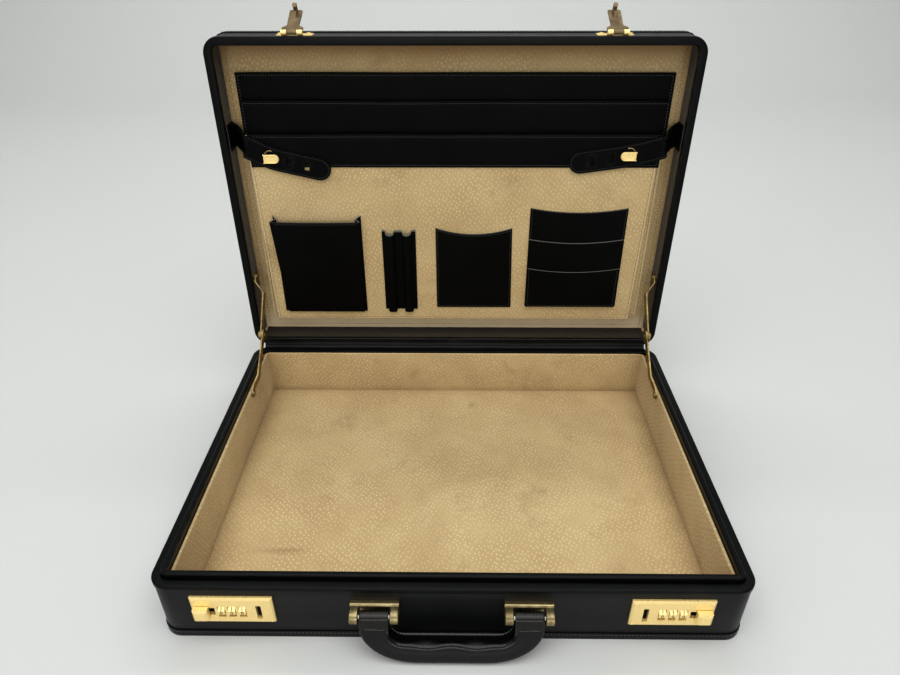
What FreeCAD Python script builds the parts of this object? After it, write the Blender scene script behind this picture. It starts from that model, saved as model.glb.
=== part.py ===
import FreeCAD, Part
import math
import os
import re

import Sketcher

# A hard-sided leather attache briefcase standing open, in millimetres.
# +Z is up and the front, with the locks and the handle, faces -Y. The origin is the centre of the
# tray's underside. The tray is drawn where it stands. The lid is drawn closed, measured from the
# hinge axis, with -Y towards the front and +Z the depth into the lid, and its placement then opens
# it by a right angle about the hinge.

Vector = FreeCAD.Vector
Rotation = FreeCAD.Rotation

SIZES = [
    ("case_width", 460, "outside width"),
    ("case_depth", 330, "outside depth, closed"),
    ("tray_height", 59, "tray from the floor to the closing plane"),
    ("lid_height", 34, "lid from the closing plane to its top"),
    ("corner_radius", 16, "outside corners in plan"),
    ("inner_corner", 6, "inside corners of the tray walls and rims"),
    ("leather", 1, "covering leather"),
    ("side_inset", 0.8, "side leather behind the rim and the end wraps"),
    ("wrap_height", 7, "base and top leather up the sides"),
    ("board", 3, "base and top boards"),
    ("tray_wall", 6.5, "tray frame wall"),
    ("lid_wall", 3.8, "lid frame wall"),
    ("rim_width", 8, "lid rim bead"),
    ("rim_height", 4.5, "rim bead height"),
    ("rim_bead", 1.6, "rounding of the rim beads"),
    ("rim_gap", 0.05, "each rim short of the closing plane"),
    ("lip_clearance", 0.3, "lip inside the lid rim"),
    ("lip_width", 4.8, "raised lip thickness"),
    ("lip_rise", 4.5, "lip above the closing plane"),
    ("lip_drop", 9, "lip below the closing plane"),
    ("lip_back", 142, "where the side lips end, behind the centre"),
    ("lining_wall", 2.7, "tray wall lining on the front and sides"),
    ("rear_lining_wall", 1.5, "tray wall lining at the rear"),
    ("rear_inset", 10.3, "rear lining face from the outside"),
    ("lining_drop", 2, "tray lining below the closing plane"),
    ("lid_lining", 0.8, "lid wall lining"),
    ("lid_panel", 1.5, "lid panel lining"),
    ("hinge_offset", 2, "hinge axis behind the tray"),
    ("hinge_length", 408, "piano hinge length"),
    ("knuckle_radius", 1.8, "hinge knuckle"),
    ("hinge_pin_radius", 0.9, "hinge pin"),
    ("hinge_clearance", 0.05, "pin in its knuckles, radial"),
    ("leaf_thickness", 0.8, "hinge leaf"),
    ("leaf_width", 9.5, "hinge leaf from the axis"),
    ("knuckle_gap", 0.4, "between knuckles"),
    ("hinge_leather", 0.7, "strip over the tray leaf"),
    ("plate_width", 63, "lock plate width"),
    ("plate_height", 28, "lock plate height"),
    ("plate_thickness", 3, "lock plate thickness"),
    ("plate_bevel", 1.3, "lock plate edge bevel"),
    ("plate_centre", 167.2, "lock plate centre from the middle"),
    ("lock_level", 34, "dial axis above the floor"),
    ("dial_radius", 6, "number dial over its corners"),
    ("dial_width", 5.2, "number dial width"),
    ("dial_pitch", 8, "dial spacing"),
    ("dial_centre", 167.5, "middle dial from the middle"),
    ("dial_depth", 4.6, "dial axis behind the plate face"),
    ("dial_clearance", 0.05, "dial on its shaft, radial"),
    ("window_width", 5.8, "dial window width"),
    ("window_height", 12.6, "dial window height"),
    ("shaft_radius", 1.5, "dial shaft"),
    ("hasp_centre", 147, "hasp and slot from the middle"),
    ("slot_width", 4, "hook slot width"),
    ("slot_low", 26, "hook slot bottom"),
    ("slot_high", 41, "hook slot top"),
    ("case_wall", 0.8, "lock case sheet"),
    ("case_rear", 11.6, "lock case depth"),
    ("case_half_width", 27.5, "half the lock case width"),
    ("case_low", 10, "lock case below the dial axis"),
    ("case_high", 12, "lock case above the dial axis"),
    ("case_clearance", 0.4, "lock case in the wall's cut-out"),
    ("button_centre", 190.5, "slide button from the middle, unlatched"),
    ("button_width", 11.6, "slide button width"),
    ("button_height", 12, "slide button height"),
    ("button_rise", 5.2, "slide button above the plate"),
    ("button_travel", 5, "slide button travel"),
    ("bracket_centre", 58.3, "handle bracket from the middle"),
    ("bracket_width", 37, "handle bracket width"),
    ("bracket_height", 13.6, "handle bracket height"),
    ("bracket_plate", 2, "handle bracket plate"),
    ("lug_width", 6.5, "handle bracket lug"),
    ("lug_radius", 5.4, "lug nose radius"),
    ("handle_pin_radius", 2, "handle pin"),
    ("handle_pin_out", 9.4, "handle pin from the side leather"),
    ("handle_pin_level", 38.5, "handle pin above the floor"),
    ("handle_clearance", 0.05, "handle loop on its pin, radial"),
    ("handle_width", 139, "handle over its ends"),
    ("handle_reach", 38.6, "handle from the pin to its outer edge"),
    ("handle_rest_angle", 13.6, "handle leans out from vertical"),
    ("grip_height", 18, "grip height at the middle"),
    ("grip_thickness", 14, "grip thickness"),
    ("loop_width", 21.8, "handle end loop width"),
    ("loop_thickness", 9.4, "handle end loop thickness"),
    ("loop_length", 9, "handle end loop below its pin"),
    ("hasp_pivot_out", 3, "hasp pivot proud of the lid front"),
    ("hasp_pivot_depth", 3, "hasp pivot above the closing plane"),
    ("hasp_open_angle", 155, "hasp opening"),
    ("hasp_width", 19.4, "hasp shoulders"),
    ("hasp_waist", 11, "hasp waist width"),
    ("hasp_tip_width", 12, "hasp tip width"),
    ("hasp_length", 34, "hasp plate length"),
    ("hasp_shoulder", 7, "hasp shoulders from the pivot"),
    ("hasp_thickness", 1.5, "hasp plate"),
    ("hasp_barrel", 2.2, "hasp knuckle radius"),
    ("hasp_pin_radius", 1, "hasp pin"),
    ("hasp_knuckle", 4.5, "half the hasp's own knuckle"),
    ("base_knuckle", 5, "each knuckle of the hasp base"),
    ("base_plate", 1.4, "hasp base plate"),
    ("screw_radius", 1.1, "hasp base screw"),
    ("screw_level", 10.5, "hasp base screws above the closing plane"),
    ("hook_reach", 8, "hook behind the hasp plate"),
    ("hook_width", 3.6, "hook width"),
    ("hook_near", 21.5, "hook from the pivot, nearest"),
    ("hook_far", 33, "hook from the pivot, farthest"),
    ("stay_radius", 85.15, "stay pivots from the hinge axis"),
    ("stay_drop", 5, "tray stay pivot below the closing plane"),
    ("stay_depth", 12, "lid stay pivot above the closing plane"),
    ("stay_bend", 5.1, "half the bend left in the open stay, degrees"),
    ("stay_width", 8, "stay arm width"),
    ("stay_thickness", 1.5, "stay arm thickness"),
    ("stay_tray_side", 212, "lower arm at its tray pivot"),
    ("stay_middle_side", 208.4, "lower arm at the elbow"),
    ("stay_lid_side", 219.5, "upper arm at its lid pivot"),
    ("stay_gap", 0.2, "between the arms at the elbow"),
    ("stay_disc_radius", 7, "elbow disc"),
    ("rivet_radius", 1.5, "stay rivet shank"),
    ("rivet_clearance", 0.05, "arm on its rivet, radial"),
    ("divider", 1.5, "file divider board"),
    ("divider_half_width", 204, "half the front board width"),
    ("divider_taper", 4, "each side of the front board comes in at its foot"),
    ("divider_foot", 31, "divider feet from the hinge axis"),
    ("front_board_top", 241.5, "front board top from the hinge axis"),
    ("middle_board_top", 271, "middle divider top from the hinge axis"),
    ("rear_board_top", 296, "rear divider top from the hinge axis"),
    ("front_board_depth", 11, "front board face above the closing plane"),
    ("middle_board_depth", 18.5, "middle divider face above the closing plane"),
    ("rear_board_depth", 24.4, "rear divider face above the closing plane"),
    ("band_height", 33, "leather band along the front board"),
    ("pocket_leather", 1, "pocket leather"),
    ("strap_width", 24, "organiser strap width"),
    ("strap_thickness", 1.8, "organiser strap thickness"),
    ("strap_slot", 5.2, "strap slot length"),
    ("turn_head", 15.6, "turn button head length"),
    ("turn_width", 8.8, "turn button head width"),
    ("turn_tail", 6.4, "turn button head behind its post"),
    ("anchor_low", 225, "strap anchors from the hinge axis"),
    ("anchor_high", 250, "strap anchor tops from the hinge axis"),
]

document = FreeCAD.newDocument("Briefcase")
sheet = document.addObject("Spreadsheet::Sheet", "Sizes")
for row, (alias, amount, meaning) in enumerate(SIZES, 1):
    sheet.set(f"A{row}", meaning)
    sheet.set(f"B{row}", str(amount))
    sheet.setAlias(f"B{row}", alias)
document.recompute()
ALIASES = {alias for alias, _, _ in SIZES}


def bound(expression):
    """The expression with each size's name pointing at its cell."""
    return re.sub(
        r"[a-z_]+", lambda word: f"Sizes.{word[0]}" if word[0] in ALIASES else word[0], str(expression)
    )


def number(expression):
    """What an expression over the sheet comes to."""
    return float(sheet.evalExpression(bound(expression)))


# ---------------------------------------------------------------- sketches and features

PLANES = {"XY": "XY_Plane", "XZ": "XZ_Plane", "YZ": "YZ_Plane"}
sub_parts = []


def new_body(label):
    body = document.addObject("PartDesign::Body", label)
    body.Label = label
    return body


def rectangle(left, right, low, high):
    return "lines", [(left, low), (right, low), (right, high), (left, high)]


def outline(*points):
    return "lines", list(points)


def mirrored_outline(*points):
    """A closed outline whose right half is given from the bottom up."""
    return "lines", list(points) + [(f"-({x})", z) for x, z in reversed(points)]


def rounded(left, right, low, high, radius):
    return "rounded", (left, right, low, high, radius)


def circle(across, up, radius):
    return "circle", (across, up, radius)


def hold(sketch, kind, places, expression):
    """A driving constraint whose size follows an expression."""
    index = sketch.addConstraint(Sketcher.Constraint(kind, *places, number(expression)))
    sketch.setExpression(f"Constraints[{index}]", bound(expression))


def draw_lines(sketch, points):
    places = [Vector(number(x), number(y), 0) for x, y in points]
    first = sketch.GeometryCount
    count = len(points)
    for index in range(count):
        sketch.addGeometry(Part.LineSegment(places[index], places[(index + 1) % count]))
    for index, (x, y) in enumerate(points):
        line, following = first + index, first + (index + 1) % count
        sketch.addConstraint(Sketcher.Constraint("Coincident", line, 2, following, 1))
        hold(sketch, "DistanceX", (-1, 1, line, 1), x)
        hold(sketch, "DistanceY", (-1, 1, line, 1), y)


def draw_circle(sketch, across, up, radius):
    centre = Vector(number(across), number(up), 0)
    ring = sketch.addGeometry(Part.Circle(centre, Vector(0, 0, 1), number(radius)))
    hold(sketch, "Radius", (ring,), radius)
    hold(sketch, "DistanceX", (-1, 1, ring, 3), across)
    hold(sketch, "DistanceY", (-1, 1, ring, 3), up)


def draw_rounded(sketch, left, right, low, high, radius):
    """Four sides and four tangent corner arcs, anticlockwise from the bottom side."""
    x0, x1, y0, y1, r = (number(e) for e in (left, right, low, high, radius))
    first = sketch.GeometryCount
    sides = [((x0 + r, y0), (x1 - r, y0)), ((x1, y0 + r), (x1, y1 - r))]
    sides += [((x1 - r, y1), (x0 + r, y1)), ((x0, y1 - r), (x0, y0 + r))]
    centres = [(x1 - r, y0 + r), (x1 - r, y1 - r), (x0 + r, y1 - r), (x0 + r, y0 + r)]
    for turn, (side, centre) in enumerate(zip(sides, centres)):
        sketch.addGeometry(Part.LineSegment(Vector(*side[0], 0), Vector(*side[1], 0)))
        corner = Part.Circle(Vector(*centre, 0), Vector(0, 0, 1), r)
        start = (turn - 1) * math.pi / 2
        sketch.addGeometry(Part.ArcOfCircle(corner, start, start + math.pi / 2))
    for turn in range(4):
        side, arc = first + 2 * turn, first + 2 * turn + 1
        sketch.addConstraint(Sketcher.Constraint("Tangent", side, 2, arc, 1))
        sketch.addConstraint(Sketcher.Constraint("Tangent", arc, 2, first + (2 * turn + 2) % 8, 1))
        if turn:
            sketch.addConstraint(Sketcher.Constraint("Equal", first + 1, arc))
    sketch.addConstraint(Sketcher.Constraint("Horizontal", first))
    sketch.addConstraint(Sketcher.Constraint("Vertical", first + 2))
    hold(sketch, "Radius", (first + 1,), radius)
    hold(sketch, "DistanceY", (-1, 1, first, 1), low)
    hold(sketch, "DistanceX", (-1, 1, first + 2, 1), right)
    hold(sketch, "DistanceY", (-1, 1, first + 4, 1), high)
    hold(sketch, "DistanceX", (-1, 1, first + 6, 1), left)


def draw(body, plane, at, loops):
    """A sketch of the loops, parallel to one of the body's origin planes at a distance along its axis."""
    sketch = body.newObject("Sketcher::SketchObject", f"{body.Name}_sketch")
    origin_plane = next(f for f in body.Origin.OriginFeatures if f.Role == PLANES[plane])
    sketch.AttachmentSupport = (origin_plane, [""])
    sketch.MapMode = "FlatFace"
    sketch.setExpression("AttachmentOffset.Base.z", bound(f"-({at})" if plane == "XZ" else at))
    for kind, given in loops:
        if kind == "lines":
            draw_lines(sketch, given)
        elif kind == "circle":
            draw_circle(sketch, *given)
        else:
            draw_rounded(sketch, *given)
    return sketch


def add(body, plane, at, length, *loops):
    """Pads the loops from a distance along the plane's axis, in the axis's positive direction."""
    sketch = draw(body, plane, at, loops)
    pad = body.newObject("PartDesign::Pad", f"{body.Name}_pad")
    pad.Profile = sketch
    pad.setExpression("Length", bound(length))
    pad.Reversed = plane == "XZ"
    document.recompute()
    return body


def cut(body, plane, at, length, *loops):
    """Pockets the loops from a distance along the plane's axis, in the axis's positive direction."""
    before = body.Shape.Volume
    sketch = draw(body, plane, at, loops)
    pocket = body.newObject("PartDesign::Pocket", f"{body.Name}_pocket")
    pocket.Profile = sketch
    pocket.setExpression("Length", bound(length))
    pocket.Reversed = plane != "XZ"
    document.recompute()
    if not body.Shape.Volume < before - 1e-6:
        raise RuntimeError(f"{pocket.Name} cuts nothing")
    return body


def dress(body, kind, size, chosen):
    """A Fillet or Chamfer of the body's edges that pass the test."""
    names = [f"Edge{n}" for n, edge in enumerate(body.Shape.Edges, 1) if chosen(edge)]
    if not names:
        raise RuntimeError(f"{body.Label} has no edge to dress")
    base = body.Tip
    feature = body.newObject(f"PartDesign::{kind}", f"{body.Name}_{kind.lower()}")
    feature.Base = (base, names)
    feature.setExpression("Radius" if kind == "Fillet" else "Size", bound(size))
    document.recompute()
    return body


def edges_at(axis, *levels):
    """Picks edges that lie wholly at one of the levels of x, y or z."""
    low, high = {"x": ("XMin", "XMax"), "y": ("YMin", "YMax"), "z": ("ZMin", "ZMax")}[axis]
    values = [number(level) for level in levels]

    def chosen(edge):
        box = edge.BoundBox
        return any(
            abs(getattr(box, low) - v) < 1e-3 and abs(getattr(box, high) - v) < 1e-3 for v in values
        )

    return chosen


def keep(label, made, placement=None):
    """Registers a shape as a sub-part under its own label, placed where it stands."""
    made.Label = label
    if placement:
        made.Placement = placement
    sub_parts.append(made)
    return made


def mirror(made, name):
    """The same piece on the other side of the case, at a negative x."""
    other = document.addObject("Part::Mirroring", name)
    other.Source = made
    other.Normal = Vector(1, 0, 0)
    return other


def both_sides(label, made):
    """One sub-part of two solids: the piece and its mirror image."""
    pair = document.addObject("Part::Compound", label)
    pair.Links = [made, mirror(made, f"{label}_left")]
    return keep(label, pair)


def left_and_right(name, made):
    """Two sub-parts: the right-hand piece and its mirror image."""
    keep(f"right_{name}", made)
    return keep(f"left_{name}", mirror(made, f"left_{name}"))


# ---------------------------------------------------------------- shared outlines and places

HALF_WIDTH = "case_width / 2"
FRONT = "-case_depth / 2"
REAR = "case_depth / 2"
LID_FRONT = "-case_depth - hinge_offset"
LID_REAR = "-hinge_offset"
SIDE_FACE = "side_inset"
FRAME_FACE = "side_inset + leather"
HINGE_Y = number("case_depth / 2 + hinge_offset")
HINGE_Z = number("tray_height")
OPEN_ANGLE = 90
LID_PLACE = FreeCAD.Placement(Vector(0, HINGE_Y, HINGE_Z), Rotation(Vector(1, 0, 0), -OPEN_ANGLE))


def plan(inset, radius, front=FRONT, rear=REAR):
    """The case's rounded outline in plan, drawn in from the outside."""
    across = f"{HALF_WIDTH} - ({inset})"
    return rounded(f"-({across})", across, f"{front} + {inset}", f"{rear} - ({inset})", radius)


def lid_plan(inset, radius):
    return plan(inset, radius, LID_FRONT, LID_REAR)


def outer_radius(inset):
    return f"corner_radius - ({inset})"


# ---------------------------------------------------------------- tray

TRAY_RIM_WIDTH = "rim_width + lip_clearance"
TRAY_INNER = f"{TRAY_RIM_WIDTH} + lip_width"
LINING_INNER = f"{TRAY_INNER} + lining_wall"
TRAY_RIM_TOP = "tray_height - rim_gap"
TRAY_RIM_BOTTOM = "tray_height - rim_height"
LEAF_BOTTOM = "tray_height - knuckle_radius"
LINING_FLOOR = "leather + board + leather"
CASE_CENTRE = "plate_centre - 0.2"
CUTOUT_HALF = "case_half_width + case_clearance + 0.1"
CUTOUT_LEVELS = ("lock_level - case_low - case_clearance", "lock_level + case_high + case_clearance")
CUTOUT = rectangle(f"{CASE_CENTRE} - ({CUTOUT_HALF})", f"{CASE_CENTRE} + {CUTOUT_HALF}", *CUTOUT_LEVELS)
CUTOUT_LEFT = rectangle(
    f"-({CASE_CENTRE}) - ({CUTOUT_HALF})", f"-({CASE_CENTRE}) + {CUTOUT_HALF}", *CUTOUT_LEVELS
)


def tray_base_leather():
    """A sheet under the base that wraps up the sides to a stitched edge."""
    body = new_body("tray_base_leather")
    add(body, "XY", 0, "leather", plan("0", "corner_radius"))
    inner = plan(SIDE_FACE, outer_radius(SIDE_FACE))
    add(body, "XY", 0, "wrap_height", plan("0", "corner_radius"), inner)
    keep("tray_base_leather", dress(body, "Fillet", 0.6, edges_at("z", "0")))


def tray_base_board():
    body = new_body("tray_base_board")
    keep(
        "tray_base_board",
        add(body, "XY", "leather", "board", plan(FRAME_FACE, outer_radius(FRAME_FACE))),
    )


def tray_wall_frame():
    """Four walls with rounded corners, cut through at the front for the lock cases."""
    body = new_body("tray_wall_frame")
    height = f"{TRAY_RIM_BOTTOM} - leather - board"
    outside = plan(FRAME_FACE, outer_radius(FRAME_FACE))
    add(body, "XY", "leather + board", height, outside, plan(TRAY_RIM_WIDTH, "inner_corner"))
    keep("tray_wall_frame", cut(body, "XZ", FRONT, LINING_INNER, CUTOUT, CUTOUT_LEFT))


def tray_side_leather():
    body = new_body("tray_side_leather")
    outside = plan(SIDE_FACE, outer_radius(SIDE_FACE))
    height = f"{TRAY_RIM_BOTTOM} - leather"
    add(body, "XY", "leather", height, outside, plan(FRAME_FACE, outer_radius(FRAME_FACE)))
    keep("tray_side_leather", cut(body, "XZ", FRONT, LINING_INNER, CUTOUT, CUTOUT_LEFT))


def tray_rim():
    """The leather-covered bead on the walls, lowered at the rear for the hinge leaf."""
    body = new_body("tray_rim")
    height = f"{TRAY_RIM_TOP} - ({TRAY_RIM_BOTTOM})"
    inside = plan(TRAY_RIM_WIDTH, "inner_corner")
    add(body, "XY", TRAY_RIM_BOTTOM, height, plan("0", "corner_radius"), inside)
    dress(body, "Fillet", "rim_bead", edges_at("z", TRAY_RIM_TOP))
    recess = rectangle(
        "-hinge_length / 2 - knuckle_gap",
        "hinge_length / 2 + knuckle_gap",
        f"{REAR} - leaf_width",
        f"{REAR} + leaf_width",
    )
    keep("tray_rim", cut(body, "XY", LEAF_BOTTOM, "rim_height", recess))


def tray_lip():
    """The raised lip that the closed lid fits over, along the front and both sides."""
    body = new_body("tray_lip")
    across = f"{HALF_WIDTH} - ({TRAY_INNER})"
    foot, height = "tray_height - lip_drop", "lip_drop + lip_rise"
    inner = rectangle(f"-({across})", across, f"{FRONT} + {TRAY_INNER}", f"{REAR} - ({TRAY_INNER})")
    add(body, "XY", foot, height, plan(TRAY_RIM_WIDTH, "inner_corner"), inner)
    cut(body, "XY", foot, height, rectangle(f"-({HALF_WIDTH})", HALF_WIDTH, "lip_back", REAR))
    keep("tray_lip", dress(body, "Fillet", 1.5, edges_at("z", "tray_height + lip_rise")))


def tray_lining_walls():
    """Suede-faced boards standing just inside the walls, with square inside corners."""
    body = new_body("tray_lining_walls")
    across, inner_across = f"{HALF_WIDTH} - ({TRAY_INNER})", f"{HALF_WIDTH} - ({LINING_INNER})"
    outside = rectangle(
        f"-({across})", across, f"{FRONT} + {TRAY_INNER}", f"{REAR} - rear_inset + rear_lining_wall"
    )
    inside = rectangle(
        f"-({inner_across})", inner_across, f"{FRONT} + {LINING_INNER}", f"{REAR} - rear_inset"
    )
    height = f"tray_height - lining_drop - ({LINING_FLOOR})"
    keep("tray_lining_walls", add(body, "XY", LINING_FLOOR, height, outside, inside))


def tray_lining_floor():
    body = new_body("tray_lining_floor")
    across = f"{HALF_WIDTH} - ({TRAY_INNER})"
    sheet_outline = rectangle(
        f"-({across})", across, f"{FRONT} + {TRAY_INNER}", f"{REAR} - rear_inset + rear_lining_wall"
    )
    keep("tray_lining_floor", add(body, "XY", "leather + board", "leather", sheet_outline))


# ---------------------------------------------------------------- piano hinge

KNUCKLES = 12


def hinge_leaf(label, first, axis_y, axis_z, leaf_z):
    """A leaf with every second knuckle. The tray and lid leaves differ in which knuckle comes first.
    A knuckle's tongue crosses from the leaf's straight edge to the barrel around the pin."""
    body = new_body(label)
    edge = f"{axis_y} - knuckle_radius - knuckle_gap"
    side = "hinge_length / 2"
    leaf = rectangle(f"-{side}", side, f"{axis_y} - leaf_width", edge)
    add(body, "XY", leaf_z, "leaf_thickness", leaf)
    for index in range(first, KNUCKLES, 2):
        start = f"hinge_length * {index} / {KNUCKLES} - {side} + knuckle_gap / 2"
        length = f"hinge_length / {KNUCKLES} - knuckle_gap"
        tongue = rectangle(f"{edge} - leaf_thickness", axis_y, leaf_z, f"{leaf_z} + leaf_thickness")
        add(body, "YZ", start, length, tongue)
        add(body, "YZ", start, length, circle(axis_y, axis_z, "knuckle_radius"))
    bore = circle(axis_y, axis_z, "hinge_pin_radius + hinge_clearance")
    cut(body, "YZ", f"-{side} - leaf_width", "hinge_length + 2 * leaf_width", bore)
    return body


def hinge():
    axis_y, axis_z = f"{REAR} + hinge_offset", "tray_height"
    keep("tray_hinge_leaf", hinge_leaf("tray_hinge_leaf", 0, axis_y, axis_z, LEAF_BOTTOM))
    lid_leaf_z = "knuckle_radius - leaf_thickness"
    keep("lid_hinge_leaf", hinge_leaf("lid_hinge_leaf", 1, "0", "0", lid_leaf_z), LID_PLACE)
    pin = new_body("hinge_pin")
    add(pin, "YZ", "-hinge_length / 2", "hinge_length", circle(axis_y, axis_z, "hinge_pin_radius"))
    keep("hinge_pin", pin)


def hinge_leather():
    """The strip of leather that hides the hinge from inside."""
    body = new_body("hinge_leather")
    strip = rectangle(
        "-hinge_length / 2 + 4", "hinge_length / 2 - 4", f"{REAR} - rear_inset - 2", f"{REAR} - knuckle_gap"
    )
    leaf_top = f"{LEAF_BOTTOM} + leaf_thickness"
    keep("hinge_leather", add(body, "XY", leaf_top, "hinge_leather", strip))


# ---------------------------------------------------------------- locks

LEATHER_FACE = f"{FRONT} + side_inset"
PLATE_FACE = f"{LEATHER_FACE} - plate_thickness"
DIAL_AXIS = f"{PLATE_FACE} + dial_depth"
PLATE_LOW = "lock_level + 1 - plate_height / 2"
PLATE_HIGH = "lock_level + 1 + plate_height / 2"
RIVET_IN = 2.6
RIVET_HEAD = 0.35
RIVET_SHANK = 0.8
BUTTON_WINDOW_LOW = "lock_level - 3.6"
BUTTON_WINDOW_HIGH = "lock_level + 4.4"


def dial_positions():
    return [f"dial_centre + {step} * dial_pitch" for step in (-1, 0, 1)]


def plate_corners():
    """Where the lock plate's corner rivets stand."""
    across = [f"plate_centre + {side} * (plate_width / 2 - {RIVET_IN})" for side in (-1, 1)]
    return [(x, z) for x in across for z in (f"{PLATE_LOW} + {RIVET_IN}", f"{PLATE_HIGH} - {RIVET_IN}")]


def lock_plates():
    """Bevelled plates with a hook slot, three dial windows and the slide button's window."""
    body = new_body("lock_plate")
    plate_left, plate_right = "plate_centre - plate_width / 2", "plate_centre + plate_width / 2"
    slot_left, slot_right = "hasp_centre - slot_width / 2", "hasp_centre + slot_width / 2"
    loops = [rectangle(plate_left, plate_right, PLATE_LOW, PLATE_HIGH)]
    loops.append(rectangle(slot_left, slot_right, "slot_low", "slot_high"))
    for x in dial_positions():
        low, high = "lock_level - window_height / 2", "lock_level + window_height / 2"
        loops.append(rectangle(f"{x} - window_width / 2", f"{x} + window_width / 2", low, high))
    window_left = "button_centre - button_travel - 4.9"
    loops.append(rectangle(window_left, "button_centre + 2.4", BUTTON_WINDOW_LOW, BUTTON_WINDOW_HIGH))
    loops += [circle(x, z, RIVET_SHANK) for x, z in plate_corners()]
    add(body, "XZ", PLATE_FACE, "plate_thickness", *loops)
    on_face = edges_at("y", PLATE_FACE)
    shortest_side = number("plate_height") - 1e-3

    def outer_face_edge(edge):
        return on_face(edge) and edge.Length > shortest_side

    dress(body, "Chamfer", "plate_bevel", outer_face_edge)
    both_sides("lock_plates", body)


def lock_plate_rivets():
    """Domed corner rivets, driven through the plate into the wall."""
    rivets = []
    for index, (x, z) in enumerate(plate_corners()):
        body = new_body(f"lock_plate_rivet_{index}")
        add(body, "XZ", PLATE_FACE, "plate_thickness + leather + 3", circle(x, z, RIVET_SHANK))
        add(body, "XZ", f"{PLATE_FACE} - {RIVET_HEAD}", RIVET_HEAD, circle(x, z, 1.3))
        dress(body, "Fillet", 0.3, edges_at("y", f"{PLATE_FACE} - {RIVET_HEAD}"))
        rivets += [body, mirror(body, f"lock_plate_rivet_left_{index}")]
    group = document.addObject("Part::Compound", "lock_plate_rivets")
    group.Links = rivets
    keep("lock_plate_rivets", group)


def lock_cases():
    """Open-fronted sheet boxes let into the wall, with two ears that carry the dial shaft."""
    body = new_body("lock_case")
    left, right = f"{CASE_CENTRE} - case_half_width", f"{CASE_CENTRE} + case_half_width"
    low, high = "lock_level - case_low", "lock_level + case_high"
    add(body, "XZ", LEATHER_FACE, "case_rear", rectangle(left, right, low, high))
    inside = rectangle(
        f"{left} + case_wall", f"{right} - case_wall", f"{low} + case_wall", f"{high} - case_wall"
    )
    cut(body, "XZ", LEATHER_FACE, "case_rear - case_wall", inside)
    ear_back, ear_foot = f"{LEATHER_FACE} + case_rear - case_wall / 2", f"{low} + case_wall / 2"
    for side in (-1, 1):
        ear = f"dial_centre + {side} * (1.5 * dial_pitch + 1.1) - case_wall / 2"
        profile = rectangle(LEATHER_FACE, ear_back, ear_foot, "lock_level + dial_radius + 0.4")
        add(body, "YZ", ear, "case_wall", profile)
    shaft_hole = circle(DIAL_AXIS, "lock_level", "shaft_radius")
    cut(body, "YZ", "dial_centre - 2 * dial_pitch", "4 * dial_pitch", shaft_hole)
    both_sides("lock_cases", body)


def dial_shafts():
    """Shafts from ear to ear, a little proud of both."""
    body = new_body("dial_shaft")
    start, length = "dial_centre - 1.5 * dial_pitch - 1.6", "3 * dial_pitch + 3.2"
    add(body, "YZ", start, length, circle(DIAL_AXIS, "lock_level", "shaft_radius"))
    both_sides("dial_shafts", body)


def dials():
    """Ten-sided number wheels, one flat for each digit."""
    for index, x in enumerate(dial_positions(), 1):
        body = new_body(f"dial_{index}")
        flats = []
        for step in range(10):
            turn = math.radians(36 * step + 18)
            across = f"{DIAL_AXIS} + dial_radius * {math.cos(turn):.6f}"
            flats.append((across, f"lock_level + dial_radius * {math.sin(turn):.6f}"))
        bore = circle(DIAL_AXIS, "lock_level", "shaft_radius + dial_clearance")
        add(body, "YZ", f"{x} - dial_width / 2", "dial_width", outline(*flats), bore)
        left_and_right(f"dial_{index}", body)


def slide_buttons():
    """The button's cap stands on the plate, and its stem passes through the plate's window."""
    body = new_body("slide_button")
    left, right = "button_centre - button_width / 2", "button_centre + button_width / 2"
    low, high = "lock_level + 0.4 - button_height / 2", "lock_level + 0.4 + button_height / 2"
    cap_front = f"{PLATE_FACE} - 0.3 - button_rise"
    add(body, "XZ", cap_front, "button_rise", rectangle(left, right, low, high))
    dress(body, "Chamfer", 1.6, edges_at("y", cap_front))
    stem = rectangle("button_centre - 4", "button_centre + 1", "lock_level - 3", "lock_level + 4")
    add(body, "XZ", f"{PLATE_FACE} - 0.4", "plate_thickness + 0.4 + 0.6", stem)
    left_and_right("slide_button", body)


def lock_bolts():
    """A bar above the dials from the button's stem to a nose beside the hook slot."""
    body = new_body("lock_bolt")
    bar_face, thick = f"{LEATHER_FACE} + 0.6", 1.5
    nose = "hasp_centre + slot_width / 2 + 0.6"
    bar = rectangle(nose, "button_centre + 1", "lock_level + 7", "lock_level + 10")
    nose_leg = rectangle(nose, f"{nose} + 3", "lock_level + 2.8", "lock_level + 8")
    stem_leg = rectangle("button_centre - 4", "button_centre + 1", "lock_level - 3", "lock_level + 8")
    for piece in (bar, nose_leg, stem_leg):
        add(body, "XZ", bar_face, thick, piece)
    left_and_right("lock_bolt", body)


# ---------------------------------------------------------------- handle

PIN_Y = f"{LEATHER_FACE} - handle_pin_out"
PIN_IN = 1.5


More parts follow.
